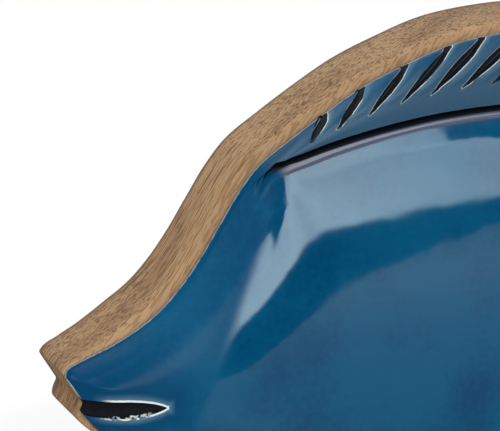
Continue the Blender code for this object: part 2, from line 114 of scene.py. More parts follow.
RAY_LEAST = 0.2  # of RAY_WIDTH, which the columns keep to where there is no ray
RAY_WALL = 0.62  # of a ray's half width, where its floor ends
RAY_DEEPENING = 0.22  # share of its length in which a ray gains its depth
RAY_RISING = 0.25  # and in which the flutes and burrs beside it rise
MOUTH_WIDTH = 0.0048
MOUTH_DEPTH = 0.0022
MOUTH_LENGTH = 0.0179
MOUTH_CORNER = (0.0040, -0.0089)
MOUTH_TAPER = (3.0, 0.8)  # powers that close the mouth to a point
MOUTH_RAMP = 0.7  # power by which it gets shallower there
MOUTH_FLOOR = 0.0008  # least thickness under the mouth
MOUTH_OUTSIDE = -0.3  # where its cutter ends outside the fish, as a share of the mouth's length
MOUTH_TIP = 0.00004  # half width of the cutter's point
MOUTH_RINGS, MOUTH_POINTS = 40, 13
NOTCH_BLUNT = 0.0006
NOTCH_REACH = 0.014
LIP_FLANKS = ((-0.52, 0.854), (-0.46, -0.888))

# Softer forms that only the looks have
FLUTE_HEIGHT = 0.00025  # rise of the fin between two rays
CREST_HEIGHT = 0.00012  # burr along a ray
CREST_SPREAD = 0.00035
SLIP_THICKNESS = 0.12  # of half its width
SLIP_SHARE = 0.45  # of a ray's width
PALE_WALL = 0.00012  # what the edge's wall counts as, as a distance from the arris
SLIP_LIFT = 0.00002  # over a ray's floor
SLIP_RUN = (0.06, 0.95)  # shares of a ray's length
SLIP_POINTS = 14
SOFTEN_CELL = 0.0012  # grid on which the body is evened out
SOFTEN_CELLS = 3  # softness, in cells
SOFTEN_FADE = 0.009  # from the body's rounded edge
HEAD_BORDER = (0.0424, 0.0163)  # a point on the border between the dull head and the glossy body
LIP_REVEAL = 0.0014  # more of the board at the lower lip
LIP_SPOT = 0.0030  # its place behind the snout, and the height below it in which it sets in
LIP_REACH = 0.0065  # how far it spreads along the fish

# Stations from the snout to the tail's middle, in percent of LENGTH behind the snout and of FISH_HEIGHT
# above it: the edge, then the body's edge where there is a fin, and how far fin and groove are formed
BACK = (
    (0.0, -0.2), (1.8, 1.4), (3.9, 2.7), (6.4, 4.7), (8.9, 7.5), (11.0, 11.0), (13.0, 15.4), (14.9, 20.4),
    (16.8, 25.3), (18.7, 29.0, 19.0, 28.35, 0.6), (21.8, 32.6, 20.5, 29.75, 1.0),
    (24.9, 35.9, 22.1, 30.5, 1.0), (28.9, 39.7, 24.5, 31.6, 1.0), (33.1, 42.5, 26.9, 32.5, 1.0),
    (37.2, 44.7, 29.4, 33.3, 1.0), (40.8, 45.6, 32.2, 34.0, 1.0), (46.2, 45.9, 36.2, 34.7, 1.0),
    (53.4, 44.7, 42.4, 35.0, 1.0), (60.6, 41.0, 50.0, 34.3, 1.0), (67.2, 34.6, 58.2, 31.3, 1.0),
    (73.1, 26.1, 66.0, 25.7, 1.0), (78.0, 17.1, 73.2, 18.0, 1.0), (82.0, 11.8, 79.3, 10.6, 0.9),
    (87.5, 12.8, 82.8, 7.1, 0.8), (93.6, 17.2, 84.0, 4.8, 0.8), (97.2, 19.4, 84.5, 3.3, 0.8),
    (99.3, 12.7, 84.8, 2.3, 0.8), (100.0, 0.0, 85.0, 0.0, 0.8),
)
BELLY = (
    (0.0, -0.2), (0.3, -3.2), (1.0, -5.9), (1.9, -8.2), (3.4, -11.0), (5.9, -14.7), (9.3, -19.6, 0.03),
    (13.3, -25.6, 0.1), (17.6, -31.9, 0.24), (22.0, -37.7, 0.5), (25.6, -42.2, 24.0, -39.1, 0.85),
    (29.2, -46.1, 25.9, -40.2, 1.0), (33.1, -49.6, 28.6, -41.5, 1.0), (37.3, -52.2, 31.3, -42.4, 1.0),
    (41.5, -53.7, 34.2, -43.0, 1.0), (45.5, -54.1, 37.1, -43.2, 1.0), (50.0, -53.5, 40.6, -43.1, 1.0),
    (55.7, -51.0, 45.4, -42.2, 1.0), (62.1, -45.4, 51.7, -39.7, 1.0), (68.2, -37.3, 58.9, -35.0, 1.0),
    (73.7, -27.3, 66.2, -28.0, 1.0), (78.3, -17.5, 73.0, -19.6, 1.0), (82.0, -11.9, 79.3, -11.0, 0.9),
    (87.5, -12.8, 82.8, -7.1, 0.8), (93.6, -17.2, 84.0, -4.8, 0.8), (97.2, -19.4, 84.5, -3.3, 0.8),
    (99.3, -12.7, 84.8, -2.3, 0.8), (100.0, 0.0, 85.0, 0.0, 0.8),
)
FIN_STATIONS = (9, 21)
TAIL_CORNER = 25
TAIL_MIDDLE = 27
TAIL_RAYS = 4

# Columns of the relief's mesh beside each ray: on its floor and wall they keep to shares of its half width,
# then they stand off from its rim, and the rest share the way to the middle between two rays
WALL_RUNGS = (0.0, 0.62, 0.88, 1.0)
RIM_RUNGS = (0.00022, 0.0006)
OPEN_RUNGS = (0.5, 0.8, 1.0)
RAY_ROOM = 0.8  # share of the way to the middle that a ray and its rim may fill
RAY_LEAD = 0.12  # share of a ray's length before its tip where the columns gather towards it
EVEN_RUNGS = (0.0, 0.08, 0.13, 0.17, 0.23, 0.32, 0.56, 0.8, 1.0)
HEAD_COLUMNS = 90
STALK_COLUMNS = 16  # between the last ray of a fin and the first of the tail
FIN_RINGS = 22
FIN_SPACING = 1.2  # rings closer at the edge
EDGE_RINGS = 5
GROOVE_PROFILE = ((0.12, 0.86), (0.30, 0.55), (0.46, 0.22), (0.62, 0.05), (0.82, 0.0), (1.0, 0.0))
STEP_PROFILE = ((0.05, 0.30), (0.12, 0.48), (0.25, 0.68), (0.45, 0.85), (0.7, 0.955), (1.0, 1.0))
DOME_RINGS = 26
DOME_SPACING = 1.15  # rings closer at the step
HOLLOW_SHARES = (1.0, 0.8, 0.6, 0.4, 0.2, 0.08)
BOARD_STEPS = 12  # points of the board's edge between two stations
BOARD_INSET = 0.0012  # from its rounded edges to a flat ring on each face
CENTIMETRES = 100.0  # in a metre; the glaze counts distances in them
TINY = 1e-6
FAR_AWAY = 0.01  # distance that stands for no rim near
MERGE = 0.000002
FINE_MERGE = 0.0000005
SHARP_WOOD, SHARP_GLAZE = math.radians(40), math.radians(50)


def smooth_at(rows, places):
    """The closed smooth line through the rows, at places counted in rows."""
    places = np.asarray(places, float)
    count = len(rows)
    ahead = np.roll(rows, -1, axis=0) - rows
    span = np.linalg.norm(ahead[:, :2], axis=1) ** 0.5
    right = ahead / span[:, None]
    left, last = np.roll(right, 1, axis=0), np.roll(span, 1)
    slopes = (left * span[:, None] + right * last[:, None]) / (last + span)[:, None]
    index = np.floor(places).astype(int) % count
    after = (index + 1) % count
    t = (places - np.floor(places))[..., None]
    reach = span[index][..., None]
    return (
        rows[index] * (2 * t**3 - 3 * t**2 + 1)
        + rows[after] * (3 * t**2 - 2 * t**3)
        + slopes[index] * reach * (t**3 - 2 * t**2 + t)
        + slopes[after] * reach * (t**3 - t**2)
    )


def outward(loop):
    """Outward unit normals of a closed outline that runs from the snout over the back."""
    ahead = np.roll(loop, -1, axis=0) - np.roll(loop, 1, axis=0)
    ahead /= np.linalg.norm(ahead, axis=1)[:, None]
    return np.column_stack([-ahead[:, 1], ahead[:, 0]])


def station_rows():
    """Stations all round the fish in metres: edge x, z, body x, z and groove share."""
    scale = np.array([LENGTH, FISH_HEIGHT]) / 100
    rows = []
    for row in BACK + BELLY[-2:0:-1]:
        body = row[2:4] if len(row) > 3 else (math.nan, math.nan)
        formed = row[-1] if len(row) > 2 else 0.0
        rows.append([*(np.array(row[:2]) * scale), *(np.array(body) * scale), formed])
    rows = np.array(rows)
    bare = np.isnan(rows[:, 2])
    rows[bare, 2:4] = (rows[:, :2] - outward(rows[:, :2]) * HEAD_MARGIN)[bare]
    return rows


ROWS = station_rows()
ROUND = len(ROWS)
AXIS = CERAMIC_HIGH[2] - smooth_at(ROWS, np.arange(0, TAIL_MIDDLE, 0.02))[:, 1].max()


def placed(points, height):
    """Outline points at a height in front of the joint, in the object's own frame."""
    height = np.broadcast_to(height, len(points))
    return np.column_stack([points[:, 0] + CERAMIC_LOW[0], JOINT - height, points[:, 1] + AXIS])


def smoothstep(low, high, value):
    t = np.clip((value - low) / (high - low), 0, 1)
    return t * t * (3 - 2 * t)


def length_of(points):
    return np.linalg.norm(points, axis=-1)


# Fin rays and the columns that follow them


def fin_rays(side):
    """Places of one fin's rays, counted in stations from the snout."""
    places = np.linspace(*FIN_STATIONS, 400)
    rows = smooth_at(ROWS, places * side)
    run = np.concatenate([[0], np.cumsum(length_of(np.diff(rows[:, 2:4], axis=0)))])
    number = np.arange(0, run[-1] / RAY_PITCH)
    crowding = RAY_CROWDING * number / RAY_CROWD * np.exp(1 - number / RAY_CROWD)
    along = FIRST_RAY + RAY_PITCH * number - crowding
    rays = np.interp(along[along < run[-1]], run, places)
    reached = smooth_at(ROWS, rays * side)
    margin = length_of(reached[:, 2:4] - reached[:, :2])
    return rays[margin > SHORTEST_RAY]


def tail_rays():
    """Places of the tail's rays, from the outermost to the middle one."""
    places = np.linspace(TAIL_CORNER, TAIL_MIDDLE, 200)
    heights = smooth_at(ROWS, places)[:, 1]
    shares = np.arange(TAIL_RAYS, -1, -1) / (TAIL_RAYS + 1)
    return np.interp(-shares * heights[0], -heights, places)


class Columns:
    """Columns of the relief's mesh, all round: the ray and the rung that each one belongs to."""

    def __init__(self):
        back, belly = (self.one_side(side) for side in (1, -1))
        spare = len(back) - len(belly)
        if spare > 0:
            belly = self.one_side(-1, spare)
        elif spare < 0:
            back = self.one_side(1, -spare)
        around = np.array(back + [[ROUND - p, ROUND - c, ROUND - b, r] for p, c, b, r in belly[-2:0:-1]])
        self.place, self.centre, self.bound = around[:, 0], around[:, 1], around[:, 2]
        self.rung = around[:, 3].astype(int)
        self.half = len(back) - 1

    def one_side(self, side, spare=0):
        """Columns from the snout to the tail's middle, as (place, ray, bound, rung); rung -1 has no ray."""
        fin, tail = fin_rays(side), tail_rays()
        columns = self.plain(0, fin[0] - (fin[1] - fin[0]) / 2, HEAD_COLUMNS)
        columns += self.beside(fin)
        start = fin[-1] + (fin[-1] - fin[-2]) / 2
        columns += self.plain(start, tail[0] - (tail[1] - tail[0]) / 2, STALK_COLUMNS + spare)[1:]
        columns += self.beside(tail, to_middle=True)
        return columns

    def plain(self, start, end, count):
        return [[place, place, place, -1] for place in np.linspace(start, end, count + 1)]

    def beside(self, rays, to_middle=False):
        """Columns on both sides of each ray, up to the middle between it and the next."""
        columns = []
        for number, ray in enumerate(rays):
            before = ray - rays[number - 1] if number else rays[1] - ray
            after = rays[number + 1] - ray if number + 1 < len(rays) else ray - rays[number - 1]
            for rung in range(len(EVEN_RUNGS) - 2, -1, -1):
                columns.append([ray - before / 2 * EVEN_RUNGS[rung], ray, ray - before / 2, rung])
            if to_middle and number + 1 == len(rays):
                break
            for rung in range(1, len(EVEN_RUNGS)):
                columns.append([ray + after / 2 * EVEN_RUNGS[rung], ray, ray + after / 2, rung])
        return columns


def leaf(t):
    """Half width of a ray along it, as a share: a point at its inner end and a full belly."""
    t = np.clip(t, 0, 1)
    swell = np.sin(np.clip(t / RAY_BELLY, 0, 1) * math.pi / 2) ** RAY_SWELL
    return swell * (1 - RAY_TAPER * smoothstep(RAY_BELLY, 1, t))


class Relief:
    """The ceramic front at the looks' density."""

    def __init__(self, columns):
        self.columns = columns
        rows = smooth_at(ROWS, columns.place)
        self.edge, self.body = rows[:, :2], rows[:, 2:4]
        self.groove = np.clip(rows[:, 4], 0, 1)
        self.spine, self.share = self.spine_points()
        self.rings = []
        self.marks = []

    def spine_points(self):
        count = len(self.body)
        mirror = (-np.arange(count)) % count
        middle = (self.body[:, 0] + self.body[mirror, 0]) / 2
        share = (middle - middle.min()) / (middle.max() - middle.min())
        even = np.minimum(np.arange(count), mirror) / self.columns.half
        share += SPINE_SPREAD * (even - share)
        start = self.body[:, 0].min() + SPINE_FRONT_SETBACK
        end = self.body[:, 0].max() - SPINE_REAR_SETBACK
        drop = SPINE_DROP + SPINE_FRONT_DROP * (0.5 + SPINE_DIP * share) * (1 - share) ** 4
        return np.column_stack([start + (end - start) * share, -drop]), share

    def level(self, head, finned, groove=None):
        groove = self.groove if groove is None else groove
        return head + (finned - head) * groove

    def crown(self):
        return CROWN_END_HEIGHT + (CROWN_HEIGHT - CROWN_END_HEIGHT) * 4 * self.share * (1 - self.share)

    def from_body(self, distance, share=0.0):
        reach = length_of(self.spine - self.body)
        along = distance / reach + share * (1 - distance / reach)
        return self.body + (self.spine - self.body) * along[:, None]

    def head_height(self, distance):
        """Height of the head at a distance from the edge, on the way to the crown line."""
        whole = length_of(self.body - self.edge) + length_of(self.spine - self.body)
        left = np.clip(1 - distance / whole, 0, 1)
        risen = (1 - left**HEAD_FULLNESS) ** HEAD_SHOULDER
        return EDGE_WALL + (self.crown() - EDGE_WALL) * risen

    def dome(self, share, start=STEP_WIDTH):
        """Height of the dome at a share of the way from the body's rounded edge to the crown line."""
        reach = length_of(self.spine - self.body)
        place = length_of(self.body - self.edge) + start + share * (reach - start)
        finned = STEP_HEIGHT + (self.crown() - STEP_HEIGHT) * (1 - (1 - share) ** CROWN_FULLNESS)
        return self.level(self.head_height(place), finned)

    def add(self, points, height, rim=FAR_AWAY, across=-2.0, arris=FAR_AWAY, strip=0.5):
        """One ring, with what its glaze needs.

        These are the distances from a ray's rim and from the arris, the place across the margin, and the
        place across the strip between two rays.
        """
        self.rings.append(placed(points, height + SEAT_GAP))
        marks = (rim, across, arris, self.groove, strip, 0.0)
        self.marks.append(np.column_stack([np.broadcast_to(value, len(points)) for value in marks]))

    def fin_ring(self, from_edge=None, across=None, sink=None):
        """A ring in the margin: at a distance from the edge, or at a share of the fin or of the groove."""
        columns = self.columns
        rayed = columns.rung >= 0
        margin = length_of(self.body - self.edge)
        place = self.place_in_margin(margin, from_edge, across, sink)
        centre, bound = smooth_at(ROWS, columns.centre), smooth_at(ROWS, columns.bound)
        along = 1 - (place / margin)[:, None]
        middle_line, bound_line = (
            rows[:, :2] + (rows[:, 2:4] - rows[:, :2]) * (1 - along) for rows in (centre, bound)
        )
        width = np.maximum(length_of(bound_line - middle_line), TINY)
        t = 1 - place / (margin - np.maximum(margin * RAY_START, RAY_BARE))
        half = RAY_WIDTH / 2 * leaf(t)
        follow = smoothstep(-RAY_LEAD, 0.0, t)
        half, offset = self.offsets(np.maximum(half, RAY_WIDTH * RAY_LEAST), width)
        even = np.array(EVEN_RUNGS)[columns.rung] * width
        offset = np.where(rayed, even + (offset - even) * follow, 0)
        beside = columns.centre + (columns.bound - columns.centre) * offset / width
        at = np.where(rayed, beside, columns.place)
        rows = smooth_at(ROWS, at)
        edge, body = rows[:, :2], rows[:, 2:4]
        margin = length_of(body - edge)
        place = self.place_in_margin(margin, from_edge, across, sink)
        return {
            "points": edge + (body - edge) * (place / margin)[:, None], "place": place, "margin": margin,
            "groove": np.clip(rows[:, 4], 0, 1), "t": t, "half": half, "offset": offset, "width": width,
            "rayed": rayed,
        }

    def place_in_margin(self, margin, from_edge, across, sink):
        if from_edge is not None:
            return np.full(len(margin), from_edge)
        fin_end = np.maximum(margin - GROOVE_WIDTH, EDGE_ROUND * FIN_LEAST)
        if across is not None:
            return EDGE_ROUND + (fin_end - EDGE_ROUND) * across
        return fin_end + (margin - fin_end) * sink

    def offsets(self, half, width):
        """The half width of each column's ray that fits there, and the column's distance from it."""
        rung = self.columns.rung
        fit = np.minimum(1, width * RAY_ROOM / (half + RIM_RUNGS[-1]))
        walls = np.array(WALL_RUNGS)[np.clip(rung, 0, 3)] * half * fit
        rims = (half + np.array(RIM_RUNGS)[np.clip(rung - 4, 0, 1)]) * fit
        last = (half + RIM_RUNGS[-1]) * fit
        opened = last + (width - last) * np.array(OPEN_RUNGS)[np.clip(rung - 6, 0, 2)]
        return half * fit, np.where(rung <= 3, walls, np.where(rung <= 5, rims, opened))

    def carve(self, ring, height, flutes):
        """Height with flutes, burrs and cuts, distance from a ray's rim, and place across the strip."""
        across = ring["offset"] - ring["half"]
        room = np.maximum(ring["width"] - ring["half"], TINY)
        arch = 1 - (1 - np.clip(across / room, 0, 1)) ** 2
        opened = smoothstep(0, RAY_RISING, ring["t"])
        spread = np.exp(-((across / CREST_SPREAD) ** 2))
        cut = 1 - smoothstep(RAY_WALL, 1.0, ring["offset"] / np.maximum(ring["half"], TINY))
        depth = RAY_DEPTH * smoothstep(0, RAY_DEEPENING, ring["t"])
        raised = height + FLUTE_HEIGHT * flutes * opened * arch + CREST_HEIGHT * opened * spread
        carved = np.maximum(raised - depth * cut, np.minimum(raised, EDGE_WALL / 4))
        before = np.maximum(-ring["t"], 0) * ring["margin"]
        rim = np.where(ring["rayed"], across + before, FAR_AWAY)
        columns = self.columns
        tailward = (columns.bound > columns.centre) == (columns.place < ROUND / 2)
        strip = 0.5 * np.clip(across / room, 0, 1)
        strip = np.where(tailward, strip, 1 - strip)
        strip = np.where(ring["rayed"], 0.5 + (strip - 0.5) * opened, 0.5)
        return np.where(ring["rayed"], carved, height), rim, strip

    def make(self):
        """Rings from the crown line inside the shell, over its back edge, up to the crown line in front."""
        land = CHANNEL_SETBACK + CHANNEL_WIDTH + INNER_LAND
        for share in HOLLOW_SHARES:
            self.add(self.from_body(land, share), self.dome(share, land) - WALL)
        near, far = CHANNEL_SETBACK, CHANNEL_SETBACK + CHANNEL_WIDTH
        channel = ((far, 0), (far, CHANNEL_DEPTH), (near, CHANNEL_DEPTH), (near, 0))
        for distance, height in ((land, 0), *channel):
            self.add(self.from_body(distance), height)
        ring = self.fin_ring(from_edge=0.0)
        self.add(ring["points"], 0.0, across=1.0, arris=0.0)
        for step in range(EDGE_RINGS + 1):
            turn = step / EDGE_RINGS * math.pi / 2
            ring = self.fin_ring(from_edge=EDGE_ROUND * (1 - math.cos(turn)))
            height = EDGE_WALL * (EDGE_FOOT + (1 - EDGE_FOOT) * math.sin(turn))
            from_arris = PALE_WALL + turn * EDGE_ROUND
            head = self.head_height(ring["place"]) - EDGE_WALL + height
            height, rim, strip = self.carve(ring, self.level(head, height, ring["groove"]), 0.0)
            self.add(ring["points"], height, rim, 1.0, from_arris, strip)
        for step in range(1, FIN_RINGS + 1):
            across = (step / FIN_RINGS) ** FIN_SPACING
            ring = self.fin_ring(across=across)
            finned = EDGE_WALL + (FIN_ROOT_HEIGHT - EDGE_WALL) * (1 - (1 - across) ** FIN_FULLNESS)
            height = self.level(self.head_height(ring["place"]), finned, ring["groove"])
            height, rim, strip = self.carve(ring, height, math.sin(math.pi * across ** 0.7))
            self.add(ring["points"], height, rim, 1 - across, ring["place"], strip)
        for sink, left in GROOVE_PROFILE:
            ring = self.fin_ring(sink=sink)
            finned = GROOVE_FLOOR + (FIN_ROOT_HEIGHT - GROOVE_FLOOR) * left
            height = self.level(self.head_height(ring["place"]), finned, ring["groove"])
            self.add(ring["points"], height, across=-sink)
        margin = length_of(self.body - self.edge)
        for across, risen in STEP_PROFILE:
            points = self.from_body(STEP_WIDTH * across)
            finned = GROOVE_FLOOR + (STEP_HEIGHT - GROOVE_FLOOR) * risen
            place = margin + STEP_WIDTH * across
            height = self.level(self.head_height(place), finned)
            self.add(points, height, across=-1 - across)
        for step in range(1, DOME_RINGS + 1):
            share = (step / DOME_RINGS) ** DOME_SPACING
            points = self.from_body(STEP_WIDTH, share)
            self.add(points, self.dome(share), across=-2 - share)
        self.soften(len(self.rings) - DOME_RINGS)
        return self

    def soften(self, first):
        """Evens out the body inside the ring of that number, so that the glaze mirrors without creases."""
        points = np.concatenate(self.rings)
        count = len(self.rings[0])
        around = np.arange(count)
        quads = []
        for number in range(first, len(self.rings) - 1):
            low = number * count + around
            after = number * count + (around + 1) % count
            quads.append(np.column_stack([low, after, after + count, low + count]))
        tree = BVHTree.FromPolygons(points.tolist(), np.concatenate(quads).tolist())
        low, high = points[:, [0, 2]].min(axis=0), points[:, [0, 2]].max(axis=0)
        shape = np.ceil((high - low) / SOFTEN_CELL).astype(int) + 1
        height, inside = np.zeros(shape), np.zeros(shape)
        start_y = JOINT - 2 * CROWN_HEIGHT
        for i in range(shape[0]):
            for j in range(shape[1]):
                start = Vector((low[0] + i * SOFTEN_CELL, start_y, low[1] + j * SOFTEN_CELL))
                hit = tree.ray_cast(start, Vector((0, 1, 0)))[0]
                if hit:
                    height[i, j], inside[i, j] = hit.y, 1.0
        even = blurred(height * inside) / np.maximum(blurred(inside), TINY)
        border = self.rings[first - 1][:, [0, 2]]
        for number in range(first, len(self.rings)):
            ring = self.rings[number]
            cell = (ring[:, [0, 2]] - low) / SOFTEN_CELL
            share = smoothstep(0, SOFTEN_FADE, length_of(ring[:, [0, 2]] - border))
            ring[:, 1] += share * (between_cells(even, cell) - ring[:, 1])


def blurred(cells):
    """Cells of a grid, each averaged softly with those round it."""
    reach = np.arange(-3 * SOFTEN_CELLS, 3 * SOFTEN_CELLS + 1)
    weights = np.exp(-0.5 * (reach / SOFTEN_CELLS) ** 2)
    weights /= weights.sum()
    for axis in (0, 1):
        cells = np.apply_along_axis(lambda line: np.convolve(line, weights, mode="same"), axis, cells)
    return cells


def between_cells(cells, place):
    """Values of a grid at places between its cells."""
    place = np.clip(place, 0, np.array(cells.shape) - 1.001)
    i, j = np.floor(place).astype(int).T
    u, v = (place - np.floor(place)).T
    low = cells[i, j] * (1 - u) + cells[i + 1, j] * u
    high = cells[i, j + 1] * (1 - u) + cells[i + 1, j + 1] * u
    return low * (1 - v) + high * v


# Mesh helpers


def grid_mesh(name, rings, marks=None):
    """A mesh of quads between closed rings of as many points each; marks become three UV maps."""
    count = len(rings[0])
    points = np.concatenate(rings)
    first = np.arange(count)
    following = (first + 1) % count
    faces = []
    for number in range(len(rings) - 1):
        low, high = number * count, (number + 1) * count
        faces.append(np.column_stack([low + first, low + following, high + following, high + first]))
    mesh = bpy.data.meshes.new(name)
    mesh.from_pydata(points.tolist(), [], np.concatenate(faces).tolist())
    if marks is not None:
        values = np.concatenate(marks)
        corners = np.zeros(len(mesh.loops), dtype=np.int32)
        mesh.loops.foreach_get("vertex_index", corners)
        for map_name, pair in (("rays", (0, 1)), ("rim", (2, 3)), ("strip", (4, 5))):
            layer = mesh.uv_layers.new(name=map_name)
            scale = 1.0 if map_name == "strip" else CENTIMETRES
            coordinates = values[corners][:, pair] * np.array([scale, 1.0])
            layer.data.foreach_set("uv", coordinates.astype(np.float32).ravel())
    return mesh


def tidy(mesh, distance=MERGE, caps=()):
    """Merges doubles, drops faces without area, closes the given rings and turns all faces outward."""
    bm = bmesh.new()
    bm.from_mesh(mesh)
    bm.verts.ensure_lookup_table()
    for ring in caps:
        bm.faces.new([bm.verts[index] for index in ring])
    bmesh.ops.remove_doubles(bm, verts=bm.verts, dist=distance)
    bmesh.ops.dissolve_degenerate(bm, edges=bm.edges, dist=distance / 2)
    bmesh.ops.recalc_face_normals(bm, faces=bm.faces)
    bm.to_mesh(mesh)
    bm.free()
    return mesh


def end_caps(rings):
    """The first and the last of the rings, as caps for tidy."""
    count = len(rings[0])
    total = count * len(rings)
    return range(count), range(total - 1, total - count - 1, -1)


def smooth(mesh, sharp=SHARP_WOOD):
    mesh.shade_smooth()
    mesh.set_sharp_from_angle(angle=sharp)


def add_piece(name, mesh, finish=None):
    piece = bpy.data.objects.new(name, mesh)
    bpy.context.scene.collection.objects.link(piece)
    if finish:
        mesh.materials.append(finish)
    smooth(mesh)
    return piece


def apply_modifier(piece, modifier):
    """Leaves the piece with a plain mesh of the same name, as the modifier makes it."""
    graph = bpy.context.evaluated_depsgraph_get()
    made = bpy.data.meshes.new_from_object(piece.evaluated_get(graph), depsgraph=graph)
    piece.modifiers.remove(modifier)
    old = piece.data
    name = old.name
    piece.data = made
    bpy.data.meshes.remove(old)
    made.name = name


def carve_with(piece, cutter):
    """Cuts the piece with a closed cutter, keeps the cutter's finish on the cut, and leaves a plain mesh."""
    boolean = piece.modifiers.new("cut", "BOOLEAN")
    boolean.operation = "DIFFERENCE"
    boolean.solver = "EXACT"
    boolean.material_mode = "TRANSFER"
    boolean.object = cutter
    apply_modifier(piece, boolean)
    bpy.data.objects.remove(cutter)


def prism(name, points, front, back, finish=None):
    """A closed cutter with that outline, given as x and z from the snout, between two heights."""
    rings = [placed(np.array(points), height) for height in (front, back)]
    mesh = grid_mesh(name, rings)
    tidy(mesh, caps=end_caps(rings))
    return add_piece(name, mesh, finish)


def mouth_half_width(share):
    """Half width of the mouth at a share of its length from the corner of the lips."""
    return MOUTH_WIDTH / 2 * (1 - max(share, 0) ** MOUTH_TAPER[0]) ** MOUTH_TAPER[1]


def notch(finish=None):
    """The open mouth in the outline."""
    half = np.array([0, NOTCH_BLUNT / 2])
    upper, lower = np.array(MOUTH_CORNER) + half, np.array(MOUTH_CORNER) - half
    upper_flank, lower_flank = (np.array(flank) * NOTCH_REACH for flank in LIP_FLANKS)
    wedge = [upper, upper + upper_flank, lower + lower_flank, lower]
    return prism("notch", wedge, CROWN_HEIGHT * 2, -BOARD_THICKNESS * 2, finish)


def sawn_floor(finish=None):
    """Everything below the flat that the figurine stands on."""
    low = -(FISH_HEIGHT + AXIS)
    flat = [(-LENGTH, low), (-LENGTH, BASE - AXIS), (2 * LENGTH, BASE - AXIS), (2 * LENGTH, low)]
    return prism("floor", flat, CROWN_HEIGHT * 2, -BOARD_THICKNESS * 2, finish)


# Shader helpers


class Nodes:
    """Short calls that make and link the nodes of one tree."""

    def __init__(self, tree):
        self.tree = tree

    def make(self, kind, inputs=None, **settings):
        """A node with its settings, and its inputs by name or number: values, or sockets to link from."""
        made = self.tree.nodes.new(kind)
        for key, value in settings.items():
            setattr(made, key, value)
        for key, value in (inputs or {}).items():
            self.give(made.inputs[key], value)
        return made

    def give(self, socket, value):
        if isinstance(value, bpy.types.NodeSocket):
            self.tree.links.new(value, socket)
        else:
            socket.default_value = value

    def math(self, operation, *values):
        return self.make("ShaderNodeMath", dict(enumerate(values)), operation=operation).outputs[0]

    def chain(self, operation, values):
        made = values[0]
        for value in values[1:]:
            made = self.math(operation, made, value)
        return made

    def product(self, *values):
        return self.chain("MULTIPLY", values)

    def total(self, *values):
        return self.chain("ADD", values)

    def largest(self, *values):
        return self.chain("MAXIMUM", values)

    def minus(self, first, second):
        return self.math("SUBTRACT", first, second)

    def inverted(self, value):
        return self.minus(1.0, value)

    def ramp(self, value, low, high, start=0.0, end=1.0):
        """A smooth step of the value from low to high, which may be the smaller one."""
        inputs = {0: value, 1: low, 2: high, 3: start, 4: end}
        return self.make("ShaderNodeMapRange", inputs, interpolation_type="SMOOTHSTEP").outputs[0]

    def line(self, value, middle, near, far):
        """A soft line: 1 where the value is near the middle and 0 where it is far from it."""
        return self.inverted(self.ramp(self.math("ABSOLUTE", self.minus(value, middle)), near, far))

    def blend(self, share, first, second):
        """A share of the way from the first colour to the second, each a colour or a socket."""
        ends = {0: share}
        for number, value in ((6, first), (7, second)):
            ends[number] = value if isinstance(value, bpy.types.NodeSocket) else (*value, 1.0)
        return self.make("ShaderNodeMix", ends, data_type="RGBA").outputs[2]

    def place(self):
        return self.make("ShaderNodeTexCoord").outputs["Object"]

    def parts(self, vector):
        return self.make("ShaderNodeSeparateXYZ", {0: vector}).outputs[:3]

    def marks(self, name):
        """The two values that one of the relief's UV maps holds."""
        return self.parts(self.make("ShaderNodeUVMap", uv_map=name).outputs[0])[:2]

    def noise(self, place, scale, detail=2.0, roughness=0.5):
        inputs = {"Vector": place, "Scale": scale, "Detail": detail, "Roughness": roughness}
        return self.make("ShaderNodeTexNoise", inputs).outputs["Fac"]

    def unevenness(self, size, fine_size, fine_share):
        inputs = {"Size": size, "Fine Size": fine_size, "Fine Share": fine_share}
        return self.make("ShaderNodeGroup", inputs, node_tree=surface_unevenness()).outputs

    def bump(self, shader, height, strength, distance):
        made = self.make("ShaderNodeBump", {"Height": height, "Strength": strength, "Distance": distance})
        self.give(shader.inputs["Normal"], made.outputs[0])


def new_material(name):
    """A material with its Principled shader, and the calls for its nodes."""
    material = bpy.data.materials.new(name)
    material.use_nodes = True
    tree = material.node_tree
    return material, Nodes(tree), tree.nodes["Principled BSDF"]


def surface_unevenness():
    """Group: slow unevenness of a surface, as a value round 0.5 and a height, from object coordinates."""
    name = "Surface Unevenness"
    if name in bpy.data.node_groups:
        return bpy.data.node_groups[name]
    group = bpy.data.node_groups.new(name, "ShaderNodeTree")
    for label, value in (("Size", 0.02), ("Fine Size", 0.003), ("Fine Share", 0.3)):
        socket = group.interface.new_socket(label, in_out="INPUT", socket_type="NodeSocketFloat")
        socket.default_value = value
    for label in ("Tone", "Height"):
        group.interface.new_socket(label, in_out="OUTPUT", socket_type="NodeSocketFloat")
    given, out, nodes = group.nodes.new("NodeGroupInput"), group.nodes.new("NodeGroupOutput"), Nodes(group)
    size, fine_size, fine_share = given.outputs[:3]
    place = nodes.place()
    wide = nodes.noise(place, nodes.math("DIVIDE", 1.0, size), detail=3.0)
    fine = nodes.noise(place, nodes.math("DIVIDE", 1.0, fine_size), detail=4.0, roughness=0.55)
    tone = nodes.total(nodes.product(wide, nodes.inverted(fine_share)), nodes.product(fine, fine_share))
    nodes.give(out.inputs["Tone"], tone)
    nodes.give(out.inputs["Height"], wide)
    return group


